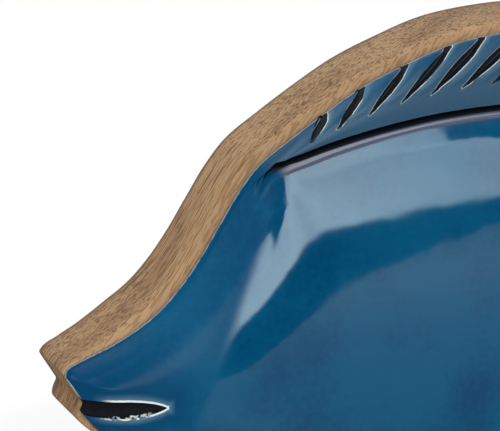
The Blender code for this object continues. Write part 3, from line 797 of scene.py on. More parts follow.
def mouth_distance(nodes, place):
    """Distance from the rim of the mouth's cut, negative inside it, place along it and height over it."""
    corner = tuple(placed(np.array([MOUTH_CORNER]), 0.0)[0])
    shifted = nodes.make("ShaderNodeVectorMath", {0: place, 1: corner}, operation="SUBTRACT").outputs[0]
    x, _, up = nodes.parts(shifted)
    along = nodes.math("DIVIDE", x, MOUTH_LENGTH)
    closed = nodes.math("POWER", nodes.largest(along, 0.0), MOUTH_TAPER[0])
    opened = nodes.math("POWER", nodes.largest(nodes.inverted(closed), 0.0), MOUTH_TAPER[1])
    aside = nodes.minus(nodes.math("ABSOLUTE", up), nodes.product(opened, MOUTH_WIDTH / 2))
    beyond = nodes.product(nodes.minus(along, 1.0), MOUTH_LENGTH)
    return nodes.largest(aside, beyond), along, up


# Finishes

# Across the margin a place counts 1 at the edge, 0 at the groove, -1 at the step and -2 at the dome.
# A pair is where a soft step starts and ends, with its two values after it where they aren't 0 and 1.
# A cover is the share that a layer takes over from the colour below it.
GLAZE_TONES = (0.35, 0.65)
BREAK_SCALES = (900.0, 220.0)  # of the fine and the wide breaks in the pale rims
RIM_WANDER = 0.03
HEAD_BORDER_WAY = (0.927, -0.375)  # across the border, from the head to the body
HEAD_FADE = (-0.0030, 0.0015)
FIN_START = (0.4, 0.9)  # by the groove's share
FIN_ZONE = (-0.05, 0.1)
FIN_THINNING = (1.5, 0.5)
FIN_COVER = 0.85
STRIP_SHADE = (0.45, 1.0)  # across the strip between two rays
STRIP_SHADE_OUT = (0.15, 0.6)
STRIP_SHADE_COVER = 0.6
STRIP_HIGHLIGHT = (0.34, 0.0)
STRIP_HIGHLIGHT_COVER = 0.8
STEP_FOOT = (-1.20, -1.34)
STEP_TOP = (-2.05, -1.85)
STEP_START = (0.75, 1.0)
STEP_HIGHLIGHT_COVER = 0.8
POOL_SHADE_OUTSIDE = (-0.02, -0.25)
POOL_SHADE_INSIDE = (-1.34, -1.22)
MOUTH_WANDER = 0.6
MOUTH_SHADE = (0.20, 0.95)  # in centimetres from the mouth's rim
MOUTH_SHADE_COVER = 0.75
MOUTH_HIGHLIGHT = (0.0, 0.24)
MOUTH_HIGHLIGHT_START = (0.0, 0.3)  # along the mouth
MOUTH_HIGHLIGHT_COVER = 0.9
RIM_CREST = (0.006, 0.006, 0.016)  # a line's middle, the half width of its core, and of its fade
PATCHY = (0.38, 0.52)
CREST_SIDES = (0.4, 0.6, 1.0, 0.35)
UPPER_CREST = (-0.0004, 0.0004)
WHOLE_CREST = (0.72, 0.8)
MOUTH_BROKEN = (0.50, 0.56)
MOUTH_CREST = (0.022, 0.016, 0.040)
MOUTH_CREST_START = (0.12, 0.3)
EDGE_LINE = (0.006, 0.018)
EDGE_COVER = 0.4
RAY_SLIP = (-0.012, 0.0)
MOUTH_SLIP = (-0.03, 0.0)
SLIP_DULLNESS = 0.5  # more roughness than the gloss glaze
RUBBED_DULLNESS = 0.26
HEAD_MIRROR, BODY_MIRROR, FIN_MIRROR = 0.07, 0.5, 0.17  # specular levels

SLIP_SHADES = (0.5, 1.6)
SLIP_ROUGHNESS = (0.3, 0.7, 0.5, 0.75)
SLIP_MIRROR = 0.05
SPECK_SCALE = 1100.0
SPECK_DEPTH = (-0.0013, 0.0)  # from the mouth's rim down its wall
SPECK_SIDE = (-0.0003, -0.0008)
SPECK_START = (0.2, 0.4)
SPECK_END = (0.85, 0.7)
SPECK_EDGE = (0.47, 0.52)

# Grain: scales along and across it, detail and roughness of the noise
BANDS = (9.0, 140.0, 3.0, 0.55)
FIBRE = (160.0, 3600.0, 3.0, 0.7)
PORES = (((230.0, 3000.0, 1.0, 0.4), (0.58, 0.62)), ((34.0, 2300.0, 1.0, 0.4), (0.585, 0.625)))
GRAIN_FLATNESS = 0.6
PORE_CROWDING = 0.14
GROWTH_TONES = (0.35, 0.65)
FIBRE_COVER = 0.4
FIBRE_HEIGHT = 0.25  # of the pores' depth
WARM_DEPTH = 0.0045
WARM_COVER = 0.6
# Painted shade along the board's back edge
BACK_EDGE_SHADE = (0.0036, 0.0024)  # from the board's back
BACK_EDGE_SHADE_COVER = 0.75
OPEN_PORE_DEPTH = 0.0022
OPEN_PORES = (0.35, 0.85)  # how dark the pores are at the joint, and deeper
PORE_ROUGHNESS = 0.8

# Hidden pieces: sizes and share of their unevenness, and two colours
GLUE_UNEVENNESS, FELT_UNEVENNESS = (0.005, 0.0008, 0.4), (0.003, 0.0003, 0.6)
GLUE_COLOURS = ((0.70, 0.68, 0.60), (0.80, 0.79, 0.74))
FELT_COLOURS = ((0.035, 0.025, 0.02), (0.10, 0.075, 0.06))


def glaze_finish(settings):
    """Deep blue glaze: thin and pale on crests, duller on head and fins, black where it gathers in the
    groove, with painted shade and highlights.

    Black slip covers the fin rays and the inside of the mouth.
    """
    material, nodes, shader = new_material("blue glaze")
    ramp, product, blend = nodes.ramp, nodes.product, nodes.blend
    inverted, largest = nodes.inverted, nodes.largest
    place = nodes.place()
    tone = nodes.unevenness(size=0.03, fine_size=0.0016, fine_share=0.25)
    base = blend(ramp(tone["Tone"], *GLAZE_TONES), settings.glaze_deep_and_shade, settings.glaze_light)
    broken, patchy = (nodes.noise(place, scale) for scale in BREAK_SCALES)
    wander = product(nodes.minus(broken, 0.5), RIM_WANDER)
    rim, across = nodes.marks("rays")
    rim = nodes.total(rim, wander)
    arris, groove = nodes.marks("rim")
    strip = nodes.marks("strip")[0]
    # Glossy on the body, duller on the head
    x, _, z = nodes.parts(place)
    behind = product(nodes.minus(x, CERAMIC_LOW[0] + HEAD_BORDER[0]), HEAD_BORDER_WAY[0])
    above = product(nodes.minus(z, AXIS + HEAD_BORDER[1]), HEAD_BORDER_WAY[1])
    glossy = ramp(nodes.total(behind, above), *HEAD_FADE)
    # Fins: thinner, duller glaze, with a painted highlight on the tailward side of each ray and painted
    # shade on the other half of each strip, darkest outside
    finned = ramp(groove, *FIN_START)
    fin = product(ramp(across, *FIN_ZONE), finned)
    base = blend(product(fin, ramp(across, *FIN_THINNING), FIN_COVER), base, settings.glaze_fin)
    shaded = product(fin, ramp(strip, *STRIP_SHADE), ramp(across, *STRIP_SHADE_OUT), STRIP_SHADE_COVER)
    base = blend(shaded, base, settings.glaze_deep_and_shade)
    base = blend(product(fin, ramp(strip, *STRIP_HIGHLIGHT), STRIP_HIGHLIGHT_COVER), base, settings.glaze_highlight)
    # The step over the groove has little glaze and carries a painted highlight; the groove is filled with
    # glaze
    step = product(ramp(across, *STEP_FOOT), ramp(across, *STEP_TOP), ramp(groove, *STEP_START))
    base = blend(product(step, STEP_HIGHLIGHT_COVER), base, settings.glaze_step_and_highlight)
    # Painted shade: the groove is painted black, for glaze gathered in it and for the shade in the recess
    pooled_and_shaded = product(ramp(across, *POOL_SHADE_OUTSIDE), ramp(across, *POOL_SHADE_INSIDE), finned)
    # Round the mouth: painted shade in deep blue, then a pale painted highlight on the lips
    mouth, along, up = mouth_distance(nodes, place)
    mouth = nodes.total(product(mouth, CENTIMETRES), product(wander, MOUTH_WANDER))
    base = blend(product(inverted(ramp(mouth, *MOUTH_SHADE)), MOUTH_SHADE_COVER), base, settings.glaze_deep_and_shade)
    lip_highlight = product(inverted(ramp(mouth, *MOUTH_HIGHLIGHT)), ramp(along, *MOUTH_HIGHLIGHT_START), MOUTH_HIGHLIGHT_COVER)
    base = blend(lip_highlight, base, settings.glaze_highlight)
    # Bare clay shows through on the rims of the rays, the mouth's crests and the outer edge
    crest = product(nodes.line(rim, *RIM_CREST), ramp(patchy, *PATCHY), ramp(strip, *CREST_SIDES))
    whole = largest(ramp(up, *UPPER_CREST), ramp(along, *WHOLE_CREST))
    covered = largest(ramp(broken, *MOUTH_BROKEN), whole)
    mouth_crest = product(nodes.line(mouth, *MOUTH_CREST), covered, ramp(along, *MOUTH_CREST_START))
    at_edge = inverted(ramp(nodes.total(arris, wander), *EDGE_LINE))
    thin = largest(crest, mouth_crest, product(at_edge, EDGE_COVER))
    base = blend(thin, base, settings.glaze_break)
    # Black slip
    slip = largest(inverted(ramp(rim, *RAY_SLIP)), inverted(ramp(mouth, *MOUTH_SLIP)))
    base = blend(largest(slip, pooled_and_shaded), base, settings.slip_and_shade_colour)
    nodes.give(shader.inputs["Base Color"], base)
    rubbed = largest(inverted(glossy), fin)
    dull = largest(product(slip, SLIP_DULLNESS), product(rubbed, RUBBED_DULLNESS))
    nodes.give(shader.inputs["Roughness"], nodes.total(dull, settings.glaze_roughness))
    mirror = product(ramp(glossy, 0.0, 1.0, HEAD_MIRROR, BODY_MIRROR), inverted(fin))
    nodes.give(shader.inputs["Specular IOR Level"], nodes.total(mirror, product(fin, FIN_MIRROR)))
    shader.inputs["IOR"].default_value = settings.glaze_ior
    nodes.bump(shader, tone["Height"], strength=0.25, distance=0.0008)
    return material


def slip_finish(settings):
    """Matt black slip in the cuts, with specks of bare clay on the mouth's lower wall."""
    material, nodes, shader = new_material("black slip")
    ramp, product = nodes.ramp, nodes.product
    tone = nodes.unevenness(size=0.004, fine_size=0.0007, fine_share=0.5)["Tone"]
    shades = [tuple(value * share for value in settings.slip_and_shade_colour) for share in SLIP_SHADES]
    base = nodes.blend(tone, *shades)
    place = nodes.place()
    broken = nodes.noise(place, SPECK_SCALE)
    mouth, along, up = mouth_distance(nodes, place)
    lower = product(ramp(mouth, *SPECK_DEPTH), ramp(up, *SPECK_SIDE))
    reach = product(ramp(along, *SPECK_START), ramp(along, *SPECK_END))
    specks = product(ramp(product(broken, lower), *SPECK_EDGE), reach)
    nodes.give(shader.inputs["Base Color"], nodes.blend(specks, base, settings.glaze_break))
    nodes.give(shader.inputs["Roughness"], ramp(tone, *SLIP_ROUGHNESS))
    shader.inputs["Specular IOR Level"].default_value = SLIP_MIRROR
    nodes.bump(shader, tone, strength=0.4, distance=0.0003)
    return material


def wood_finish(settings):
    """Oiled oak: long open pores along the grain, soft growth bands, warmer next to the glaze, painted shade
    on the back edge.
    """
    material, nodes, shader = new_material("oiled oak")
    ramp, product, blend = nodes.ramp, nodes.product, nodes.blend
    place = nodes.place()
    turned = nodes.make("ShaderNodeMapping", {
        "Vector": place, "Rotation": (0.0, settings.grain_angle, settings.grain_tilt),
    }, vector_type="TEXTURE").outputs[0]

    def grain(along, across, detail, roughness):
        scale = (along, across, across * GRAIN_FLATNESS)
        stretched = nodes.make("ShaderNodeMapping", {"Vector": turned, "Scale": scale}).outputs[0]
        return nodes.noise(stretched, 1.0, detail, roughness)

    bands, fibre = grain(*BANDS), grain(*FIBRE)
    crowded = product(nodes.minus(bands, 0.5), PORE_CROWDING)
    pores = nodes.largest(*(ramp(nodes.total(grain(*kind), crowded), *limits) for kind, limits in PORES))
    base = blend(ramp(bands, *GROWTH_TONES), settings.wood_light, settings.wood_dark)
    base = blend(product(ramp(fibre, *GROWTH_TONES), FIBRE_COVER), base, settings.wood_dark)
    depth = nodes.parts(place)[1]
    base = blend(product(ramp(depth, JOINT + WARM_DEPTH, JOINT), WARM_COVER), base, settings.wood_warm)
    # Painted shade: the board's back edge is darkened with the pores' colour
    back_edge_shade = product(ramp(depth, *(JOINT + BOARD_THICKNESS - inset for inset in BACK_EDGE_SHADE)), BACK_EDGE_SHADE_COVER)
    in_open = ramp(depth, JOINT, JOINT + OPEN_PORE_DEPTH, *OPEN_PORES)
    base = blend(nodes.largest(product(pores, in_open), back_edge_shade), base, settings.pore_and_shade_colour)
    nodes.give(shader.inputs["Base Color"], base)
    nodes.give(shader.inputs["Roughness"], ramp(pores, 0.0, 1.0, settings.wood_roughness, PORE_ROUGHNESS))
    relief = nodes.minus(product(fibre, FIBRE_HEIGHT), pores)
    nodes.bump(shader, relief, strength=0.3, distance=0.00015)
    return material


def plain_finish(name, unevenness, colours, roughness, bump, sheen=0.0):
    """An uneven matt finish between two colours."""
    material, nodes, shader = new_material(name)
    tone = nodes.unevenness(*unevenness)["Tone"]
    nodes.give(shader.inputs["Base Color"], nodes.blend(tone, *colours))
    shader.inputs["Roughness"].default_value = roughness
    shader.inputs["Sheen Weight"].default_value = sheen
    nodes.bump(shader, tone, strength=bump, distance=0.0004)
    return material


# Settings


def tint(name, description, default):
    return bpy.props.FloatVectorProperty(
        name=name, description=description, default=default, subtype="COLOR", size=3, min=0, max=1
    )


def amount(name, description, default, least=0.0, most=1.0, subtype="NONE"):
    return bpy.props.FloatProperty(
        name=name, description=description, default=default, min=least, max=most, subtype=subtype
    )


def angle(name, description, degrees):
    return bpy.props.FloatProperty(
        name=name, description=description, default=math.radians(degrees), subtype="ANGLE"
    )


class TurbotFinishes(bpy.types.PropertyGroup):
    # The deep glaze colour is also used for the painted shade on the fins and round the mouth
    glaze_deep_and_shade: tint("Deep Glaze", "Colour of the glaze where it is thick", (0.0, 0.040, 0.105))
    glaze_light: tint("Clear Glaze", "Colour of the glaze where it is thinner", (0.002, 0.070, 0.150))
    # Colour of the painted highlights on the fins' strips and on the lips round the mouth
    glaze_highlight: tint("Glaze Highlight", "Colour of the glaze on soft crests", (0.07, 0.16, 0.23))
    glaze_fin: tint("Fin Glaze", "Colour of the glaze on the fins", (0.026, 0.072, 0.122))
    # Colour of the step's thin glaze together with the painted highlight on its rounding
    glaze_step_and_highlight: tint("Bare Step and Highlight", "Colour of the step, with little glaze", (0.085, 0.085, 0.115))
    glaze_break: tint("Glaze Break", "Colour where the glaze has run off an edge", (0.60, 0.63, 0.62))
    glaze_roughness: amount("Glaze Roughness", "Roughness of the gloss glaze", 0.06)
    glaze_ior: amount("Glaze IOR", "Index of refraction of the glaze", 1.55, 1.0, 2.5)
    # Also the colour of the groove's gathered glaze and painted shade
    slip_and_shade_colour: tint("Slip", "Colour of the black slip in the cuts", (0.006, 0.007, 0.009))
    wood_light: tint("Early Wood", "Colour of the paler growth", (0.370, 0.226, 0.106))
    wood_dark: tint("Late Wood", "Colour of the darker growth", (0.26, 0.140, 0.058))
    wood_warm: tint("Oiled Edge", "Colour of the wood next to the glaze", (0.33, 0.19, 0.085))
    # Also the colour of the painted shade along the board's back edge
    pore_and_shade_colour: tint("Pores and Edge Shade", "Colour of the open pores", (0.095, 0.044, 0.018))
    wood_roughness: amount("Wood Roughness", "Roughness of the oiled wood", 0.5)
    grain_angle: angle("Grain Angle", "Lean of the grain, up from the fish's length", -54)
    grain_tilt: angle("Grain Tilt", "Lean of the grain into the board's thickness", 6)


class TurbotStage(bpy.types.PropertyGroup):
    azimuth: angle("Camera Azimuth", "Camera's turn round the figurine from straight in front", -21)
    elevation: angle("Camera Elevation", "Camera's height angle", 17.5)
    distance: amount(
        "Camera Distance", "Camera from the point that it looks at", 1.1, 0.0, 10.0, subtype="DISTANCE"
    )
    lens: amount("Lens", "Focal length of the camera, in millimetres", 330.0, 1.0, 1000.0)
    sight: bpy.props.FloatVectorProperty(
        name="Point Looked At", subtype="XYZ", size=2, default=(0.0471674, 0.0333344),
        description="Point in the middle of the picture, from the snout along the fish and up",
    )
    softbox: amount("Softbox", "Brightness of the softbox in front", 4.5, 0.0, 100.0)
    overhead: amount("Overhead Light", "Power of the light above", 18.0, 0.0, 1000.0, subtype="POWER")
    side: amount("Side Light", "Power of the light on the left", 9.0, 0.0, 1000.0, subtype="POWER")


# Stage

LIGHT_AIM = (0.0, 0.0, 0.08)
OVERHEAD_PLACE, OVERHEAD_SIZE = (-0.1, 0.3, 1.6), (1.6, 1.4)
SIDE_PLACE, SIDE_SIZE = (-1.5, -0.15, 0.22), (0.5, 0.6)
SENSOR_WIDTH = 36.0  # millimetres

FLOOR_SIZE = 8.0
FLOOR_EDGE = (-0.29, -0.05, -2.06)  # its edge in front of the fish, where that turns away, and how steeply
FLOOR_COLOUR = (0.8, 0.8, 0.8)
FLOOR_FLAG = (0.55, 0.05)
FLOOR_FLAG_COVER = 0.95
FLOOR_WHITE = (0.15, 0.22)
FLOOR_WHITE_LEAST = 0.80

# The surroundings that the glaze mirrors, in degrees of azimuth from straight in front and of height, or as
# parts of a direction; pairs are soft steps, as in the finishes
SOFTBOX_SLANT = 0.22
SOFTBOX_FOOT = (-3.0, -1.4)
SOFTBOX_LEAN = 0.7
SOFTBOX_LEFT = (-12.0, -7.5)
SOFTBOX_RIGHT = (65.0, 50.0)
SOFTBOX_FADE = (45.0, 18.0, 0.3, 1.0)
SOFTBOX_TOP = (80.0, 60.0)
SOFTBOX_SIDES = (8.0, 22.0, 1.3, 0.85)
WING_SLANT = (-0.5, -3.0)
WING_FOOT_MOST = 9.3
WING_FOOT = (-0.8, 0.8)
WING_LEFT = (-27.0, -22.0)
WING_TOP = (34.0, 28.0)
CORNER_SLANT = 2.0
CORNER_LEFT = (20.5, 21.5)
CORNER_FOOT = (62.0, 64.5)
CORNER_RIGHT = (40.0, 30.0)
FOLDS_SCALE = 5.0
FOLDS = (0.25, 0.75, 0.85, 1.15)
PANEL_WAY = (-0.630, -0.394, 0.669)
PANEL_SPREAD = (0.81, 0.99)
PANEL_GLOW = 1.3
COVE_BACK = (0.6, 0.95)
COVE_TOP = (0.93, 0.99)
COVE_GLOW = 0.7
STUDIO_TINT = (0.95, 0.96, 0.96)
MIRRORED_TINT = (0.80, 1.01, 1.08)


# Operators


class TURBOT_OT_board(bpy.types.Operator):
    """Make the oak board with rounded edges, the mouth's notch and the sawn flat"""

    bl_idname = "turbot.board"
    bl_label = "Oak Board"

    def execute(self, context):
        finish = wood_finish(context.scene.turbot_finishes)
        places = np.arange(0, ROUND, 1 / BOARD_STEPS)
        edge = smooth_at(ROWS, places)[:, :2]
        out = outward(edge)
        share = np.clip(edge[:, 0] / np.where(edge[:, 1] < 0, JAW_REVEAL_FADE, SNOUT_REVEAL_FADE), 0, 1)
        reveal = SNOUT_REVEAL + (BOARD_REVEAL - SNOUT_REVEAL) * share * share * (3 - 2 * share)
        below = smoothstep(0, LIP_SPOT, -edge[:, 1])
        reveal += LIP_REVEAL * below * np.exp(-(((edge[:, 0] - LIP_SPOT) / LIP_REACH) ** 2))
        front_round = np.minimum(FRONT_ROUND, reveal)
        turns = np.linspace(0, math.pi / 2, 9)
        profile = [(reveal - front_round - BOARD_INSET, 0.0)]
        for turn in turns:
            profile.append((reveal - front_round * (1 - math.sin(turn)), front_round * (1 - math.cos(turn))))
        for turn in turns:
            depth = BOARD_THICKNESS - BACK_ROUND * (1 - math.sin(turn))
            profile.append((reveal - BACK_ROUND * (1 - math.cos(turn)), depth))
        profile.append((reveal - BACK_ROUND - BOARD_INSET, BOARD_THICKNESS))
        rings = [placed(edge + out * beyond[:, None], -depth) for beyond, depth in profile]
        mesh = grid_mesh("wood_board", rings)
        tidy(mesh, caps=end_caps(rings))
        board = add_piece("wood_board", mesh, finish)
        carve_with(board, notch())
        carve_with(board, sawn_floor())
        smooth(board.data)
        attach(board, "root")
        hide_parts("wood_body")
        return {"FINISHED"}


class TURBOT_OT_relief(bpy.types.Operator):
    """Make the glazed relief: rounded edge, fluted fins with carved rays, groove, domed body and mouth"""

    bl_idname = "turbot.relief"
    bl_label = "Glazed Relief"

    def execute(self, context):
        finishes = context.scene.turbot_finishes
        relief = Relief(Columns()).make()
        mesh = grid_mesh("glazed_relief", relief.rings, relief.marks)
        tidy(mesh)
        piece = add_piece("glazed_relief", mesh, glaze_finish(finishes))
        slip = slip_finish(finishes)
        carve_with(piece, self.mouth(piece, slip))
        carve_with(piece, notch())
        carve_with(piece, sawn_floor())
        smooth(piece.data, SHARP_GLAZE)
        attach(piece, "root")
        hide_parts("ceramic_front")
        return {"FINISHED"}

    def mouth(self, piece, slip):
        """Cutter of the mouth: a trough under the relief's own surface, closing to a point in the head."""
        surface = Surface(piece)
        corner, turns = np.array(MOUTH_CORNER), np.linspace(-math.pi / 2, math.pi / 2, MOUTH_POINTS)
        rings = []
        for share in np.linspace(1.0, MOUTH_OUTSIDE, MOUTH_RINGS):
            half = max(mouth_half_width(share), MOUTH_TIP)
            depth = MOUTH_DEPTH * min(half / MOUTH_WIDTH * 2, 1) ** MOUTH_RAMP
            line = [corner + (MOUTH_LENGTH * share, half * math.sin(turn)) for turn in turns]
            heights = np.array([self.height_at(surface, point) for point in line])
            floors = np.maximum(heights - depth * np.cos(turns), np.minimum(heights, MOUTH_FLOOR))
            rings.append(placed(np.array(line + [line[-1], line[0]]), [*floors, *[CROWN_HEIGHT] * 2]))
        mesh = grid_mesh("mouth", rings)
        tidy(mesh, FINE_MERGE, end_caps(rings))
        return add_piece("mouth", mesh, slip)

    def height_at(self, surface, point):
        """Height of the relief at a point of the outline's plane; outside the fish, that of its edge."""
        hit = surface.hit(point)
        return JOINT - hit.y if hit else EDGE_WALL * EDGE_FOOT


class Surface:
    """A piece's surface, looked for from in front."""

    def __init__(self, piece):
        points = [vertex.co for vertex in piece.data.vertices]
        self.tree = BVHTree.FromPolygons(points, [face.vertices for face in piece.data.polygons])

    def hit(self, point):
        """The surface behind a point of the outline's plane, or None."""
        start = placed(np.array([point]), CROWN_HEIGHT * 2)[0]
        return self.tree.ray_cast(Vector(start), Vector((0, 1, 0)))[0]


def slip_group():
    """Geometry nodes: a flat strip along every line, as wide as its half_width attribute tells."""
    group = bpy.data.node_groups.new("Slip Strips", "GeometryNodeTree")
    for label, kind in (("Lines", "Geometry"), ("Thickness", "Float"), ("Finish", "Material")):
        group.interface.new_socket(label, in_out="INPUT", socket_type="NodeSocket" + kind)
    group.interface.new_socket("Strips", in_out="OUTPUT", socket_type="NodeSocketGeometry")
    given, out, nodes = group.nodes.new("NodeGroupInput"), group.nodes.new("NodeGroupOutput"), Nodes(group)
    lines, thickness, finish = given.outputs[:3]
    curves = nodes.make("GeometryNodeMeshToCurve", {"Mesh": lines}).outputs[0]
    facing = {"Curve": curves, "Normal": (0.0, -1.0, 0.0)}
    faced = nodes.make("GeometryNodeSetCurveNormal", facing, mode="FREE").outputs[0]
    named = {"Name": "half_width"}
    width = nodes.make("GeometryNodeInputNamedAttribute", named, data_type="FLOAT").outputs[0]
    flat = {"Width": thickness, "Height": 2.0}
    profile = nodes.make("GeometryNodeCurvePrimitiveQuadrilateral", flat).outputs[0]
    swept = nodes.make("GeometryNodeCurveToMesh", {
        "Curve": faced, "Profile Curve": profile, "Scale": width, "Fill Caps": True,
    }).outputs[0]
    finished = nodes.make("GeometryNodeSetMaterial", {"Geometry": swept, "Material": finish}).outputs[0]
    real = nodes.make("GeometryNodeRealizeInstances", {"Geometry": finished}).outputs[0]
    nodes.give(out.inputs["Strips"], real)
    return group


class TURBOT_OT_slip(bpy.types.Operator):
    """Lay the black slip on the floor of every fin ray"""

    bl_idname = "turbot.slip"
    bl_label = "Slip in the Rays"

    def execute(self, context):
        surface = Surface(bpy.data.objects["glazed_relief"])
        points, edges, widths = [], [], []
        places = [*fin_rays(1), *tail_rays(), *(-tail_rays()[:-1]), *(-fin_rays(-1))]
        for place in places:
            line = self.along_ray(surface, place)
            edges += [(len(points) + step, len(points) + step + 1) for step in range(len(line) - 1)]
            points += [point for point, half in line]
            widths += [half for point, half in line]
        mesh = bpy.data.meshes.new("slip_strips")
        mesh.from_pydata(points, edges, [])
        mesh.attributes.new("half_width", "FLOAT", "POINT").data.foreach_set("value", widths)
        piece = bpy.data.objects.new("slip_strips", mesh)
        context.scene.collection.objects.link(piece)
        strips = piece.modifiers.new("strips", "NODES")
        strips.node_group = slip_group()
        sockets = {item.name: item.identifier for item in strips.node_group.interface.items_tree}
        strips[sockets["Thickness"]] = SLIP_THICKNESS
        strips[sockets["Finish"]] = bpy.data.materials["black slip"]
        apply_modifier(piece, strips)
        tidy(piece.data, FINE_MERGE)
        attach(piece, "root")
        return {"FINISHED"}

    def along_ray(self, surface, place):
        """Points on the floor of one ray from its tip to the edge, each with the strip's half width."""
        row = smooth_at(ROWS, [place])[0]
        edge, body = row[:2], row[2:4]
        bare = min(1 - RAY_START, 1 - RAY_BARE / length_of(body - edge))
        line = []
        for t in np.linspace(*SLIP_RUN, SLIP_POINTS):
            hit = surface.hit(edge + (body - edge) * bare * (1 - t))
            if hit and hit.z > BASE + RAY_WIDTH:
                half = RAY_WIDTH / 2 * SLIP_SHARE * float(leaf(t))
                line.append(((hit.x, hit.y - SLIP_LIFT, hit.z), half))
        return line if len(line) > 2 else []


class TURBOT_OT_underside(bpy.types.Operator):
    """Finish the hidden adhesive and the felt pads"""

    bl_idname = "turbot.underside"
    bl_label = "Adhesive and Felt"

    def execute(self, context):
        glue = plain_finish("cured adhesive", GLUE_UNEVENNESS, GLUE_COLOURS, roughness=0.5, bump=0.3)
        felt = plain_finish("brown felt", FELT_UNEVENNESS, FELT_COLOURS, roughness=0.95, bump=0.6, sheen=0.3)
        pieces = [(name, glue) for name in ("adhesive_bead", "adhesive_dab_front", "adhesive_dab_rear")]
        pieces += [(name, felt) for name in ("felt_pad_front", "felt_pad_rear")]
        for name, finish in pieces:
            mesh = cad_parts[name].data
            mesh.materials.clear()
            mesh.materials.append(finish)
        return {"FINISHED"}


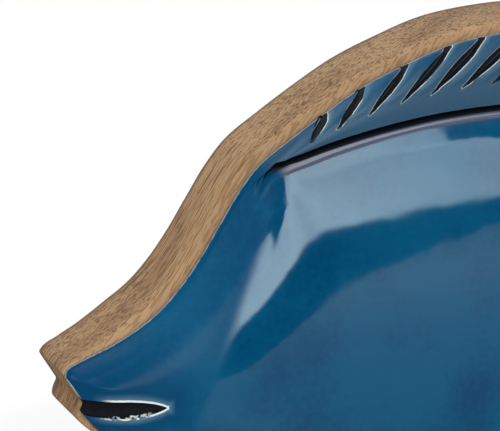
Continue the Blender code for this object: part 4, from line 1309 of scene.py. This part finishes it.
class TURBOT_OT_stage(bpy.types.Operator):
    """Set the floor, the lights, the pale surroundings and the camera"""

    bl_idname = "turbot.stage"
    bl_label = "Stage"

    def execute(self, context):
        scene = context.scene
        stage = scene.turbot_stage
        self.floor()
        self.surroundings(scene, stage)
        self.light("overhead", stage.overhead, OVERHEAD_PLACE, OVERHEAD_SIZE)
        self.light("side", stage.side, SIDE_PLACE, SIDE_SIZE)
        self.camera(scene, stage)
        scene.view_settings.view_transform = "Standard"
        return {"FINISHED"}

    def light(self, name, power, place, size):
        data = bpy.data.lights.new(name, "AREA")
        data.shape = "RECTANGLE"
        data.size, data.size_y = size
        data.energy = power
        lamp = bpy.data.objects.new(name, data)
        lamp.location = place
        aim = Vector(LIGHT_AIM) - Vector(place)
        lamp.rotation_euler = aim.to_track_quat("-Z", "Y").to_euler()
        lamp.visible_camera = False
        bpy.context.scene.collection.objects.link(lamp)

    def floor(self):
        mesh = bpy.data.meshes.new("floor")
        front, turn, slant = FLOOR_EDGE
        far = FLOOR_SIZE
        bend = turn + (-far - front) / slant
        corners = [(-far, front), (turn, front), (bend, -far), (far, -far), (far, far), (-far, far)]
        mesh.from_pydata([(x, y, 0) for x, y in corners], [], [range(len(corners))])
        floor = bpy.data.objects.new("studio_floor", mesh)
        bpy.context.scene.collection.objects.link(floor)
        material, nodes, shader = new_material("pale floor")
        shader.inputs["Roughness"].default_value = 0.9
        place, path = nodes.place(), nodes.make("ShaderNodeLightPath").outputs
        # The glaze mirrors the floor close in front of it darker, as under a flag
        ahead = nodes.product(nodes.parts(place)[1], -1.0)
        flagged = nodes.product(nodes.ramp(ahead, *FLOOR_FLAG), path["Is Glossy Ray"], FLOOR_FLAG_COVER)
        nodes.give(shader.inputs["Base Color"], nodes.blend(flagged, FLOOR_COLOUR, (0.0, 0.0, 0.0)))
        # To the camera it is white beyond the figurine's own shadow
        distance = nodes.make("ShaderNodeVectorMath", {0: place}, operation="LENGTH").outputs["Value"]
        paled = nodes.largest(nodes.ramp(distance, *FLOOR_WHITE), FLOOR_WHITE_LEAST)
        white = nodes.make("ShaderNodeEmission", {"Color": (1, 1, 1, 1), "Strength": 1.0})
        mixed = nodes.make("ShaderNodeMixShader", {
            0: nodes.product(paled, path["Is Camera Ray"]), 1: shader.outputs[0], 2: white.outputs[0],
        })
        nodes.give(nodes.tree.nodes["Material Output"].inputs["Surface"], mixed.outputs[0])
        mesh.materials.append(material)

    def surroundings(self, scene, stage):
        world = bpy.data.worlds.new("studio")
        scene.world = world
        world.use_nodes = True
        nodes = Nodes(world.node_tree)
        ramp, product, largest = nodes.ramp, nodes.product, nodes.largest
        path = nodes.make("ShaderNodeLightPath").outputs
        seen = largest(path["Is Camera Ray"], path["Is Transmission Ray"])
        ahead = nodes.make("ShaderNodeTexCoord").outputs["Generated"]
        x, y, z = nodes.parts(ahead)
        azimuth = nodes.math("DEGREES", nodes.math("ARCTAN2", x, product(y, -1.0)))
        height = nodes.math("DEGREES", nodes.math("ARCSINE", z))
        # The softbox: slanted lower and left edges, a wing at the left, one corner flagged off
        over = nodes.minus(height, product(azimuth, SOFTBOX_SLANT))
        inward = nodes.minus(azimuth, product(height, SOFTBOX_LEAN))
        turned = nodes.total(height, product(azimuth, CORNER_SLANT))
        corner = product(
            ramp(azimuth, *CORNER_LEFT), ramp(turned, *CORNER_FOOT), ramp(azimuth, *CORNER_RIGHT),
        )
        lowest = nodes.math("MINIMUM", nodes.math("MULTIPLY_ADD", azimuth, *WING_SLANT), WING_FOOT_MOST)
        wing_over = nodes.minus(height, lowest)
        wing = product(ramp(azimuth, *WING_LEFT), ramp(wing_over, *WING_FOOT), ramp(height, *WING_TOP))
        folds = nodes.noise(ahead, FOLDS_SCALE)
        softbox = product(
            ramp(over, *SOFTBOX_FOOT), largest(ramp(inward, *SOFTBOX_LEFT), wing),
            ramp(azimuth, *SOFTBOX_RIGHT), ramp(height, *SOFTBOX_FADE), ramp(height, *SOFTBOX_TOP),
            nodes.inverted(corner),
            ramp(folds, *FOLDS), ramp(azimuth, *SOFTBOX_SIDES), stage.softbox,
        )
        towards = nodes.make("ShaderNodeVectorMath", {0: ahead, 1: PANEL_WAY}, operation="DOT_PRODUCT")
        panel = product(ramp(towards.outputs["Value"], *PANEL_SPREAD), PANEL_GLOW)
        cove = product(largest(ramp(y, *COVE_BACK), ramp(z, *COVE_TOP)), COVE_GLOW)
        glow = nodes.total(cove, panel, softbox)
        tint = nodes.blend(path["Is Glossy Ray"], STUDIO_TINT, MIRRORED_TINT)
        background = nodes.tree.nodes["Background"]
        nodes.give(background.inputs["Color"], nodes.blend(seen, tint, (1.0, 1.0, 1.0)))
        strength = nodes.total(product(glow, nodes.inverted(seen)), seen)
        nodes.give(background.inputs["Strength"], strength)

    def camera(self, scene, stage):
        data = bpy.data.cameras.new("camera")
        data.lens = stage.lens
        data.sensor_width = SENSOR_WIDTH
        data.clip_start, data.clip_end = 0.01, 50.0
        camera = bpy.data.objects.new("camera", data)
        scene.collection.objects.link(camera)
        target = Vector((CERAMIC_LOW[0] + stage.sight[0], JOINT, AXIS + stage.sight[1]))
        back = Vector((
            math.sin(stage.azimuth) * math.cos(stage.elevation),
            -math.cos(stage.azimuth) * math.cos(stage.elevation),
            math.sin(stage.elevation),
        ))
        camera.location = target + back * stage.distance
        camera.rotation_euler = back.to_track_quat("Z", "Y").to_euler()
        scene.camera = camera


class TURBOT_PT_panel(bpy.types.Panel):
    """Sidebar panel with the figurine's pieces, finishes and stage"""

    bl_label = "Turbot Figurine"
    bl_space_type = "VIEW_3D"
    bl_region_type = "UI"
    bl_category = "Turbot"

    def draw(self, context):
        column = self.layout.column()
        for operator in OPERATORS:
            column.operator(operator.bl_idname)
        for settings in (context.scene.turbot_finishes, context.scene.turbot_stage):
            box = self.layout.box()
            for name in settings.bl_rna.properties.keys():
                if name not in ("rna_type", "name"):
                    box.prop(settings, name)


OPERATORS = (TURBOT_OT_board, TURBOT_OT_relief, TURBOT_OT_slip, TURBOT_OT_underside, TURBOT_OT_stage)
CLASSES = (TurbotFinishes, TurbotStage, *OPERATORS, TURBOT_PT_panel)


def register():
    for cls in CLASSES:
        bpy.utils.register_class(cls)
    bpy.types.Scene.turbot_finishes = bpy.props.PointerProperty(type=TurbotFinishes)
    bpy.types.Scene.turbot_stage = bpy.props.PointerProperty(type=TurbotStage)


def unregister():
    del bpy.types.Scene.turbot_stage
    del bpy.types.Scene.turbot_finishes
    for cls in reversed(CLASSES):
        bpy.utils.unregister_class(cls)


def main():
    register()
    bpy.ops.turbot.board()
    bpy.ops.turbot.relief()
    bpy.ops.turbot.slip()
    bpy.ops.turbot.underside()
    bpy.ops.turbot.stage()


if __name__ == "__main__":
    main()
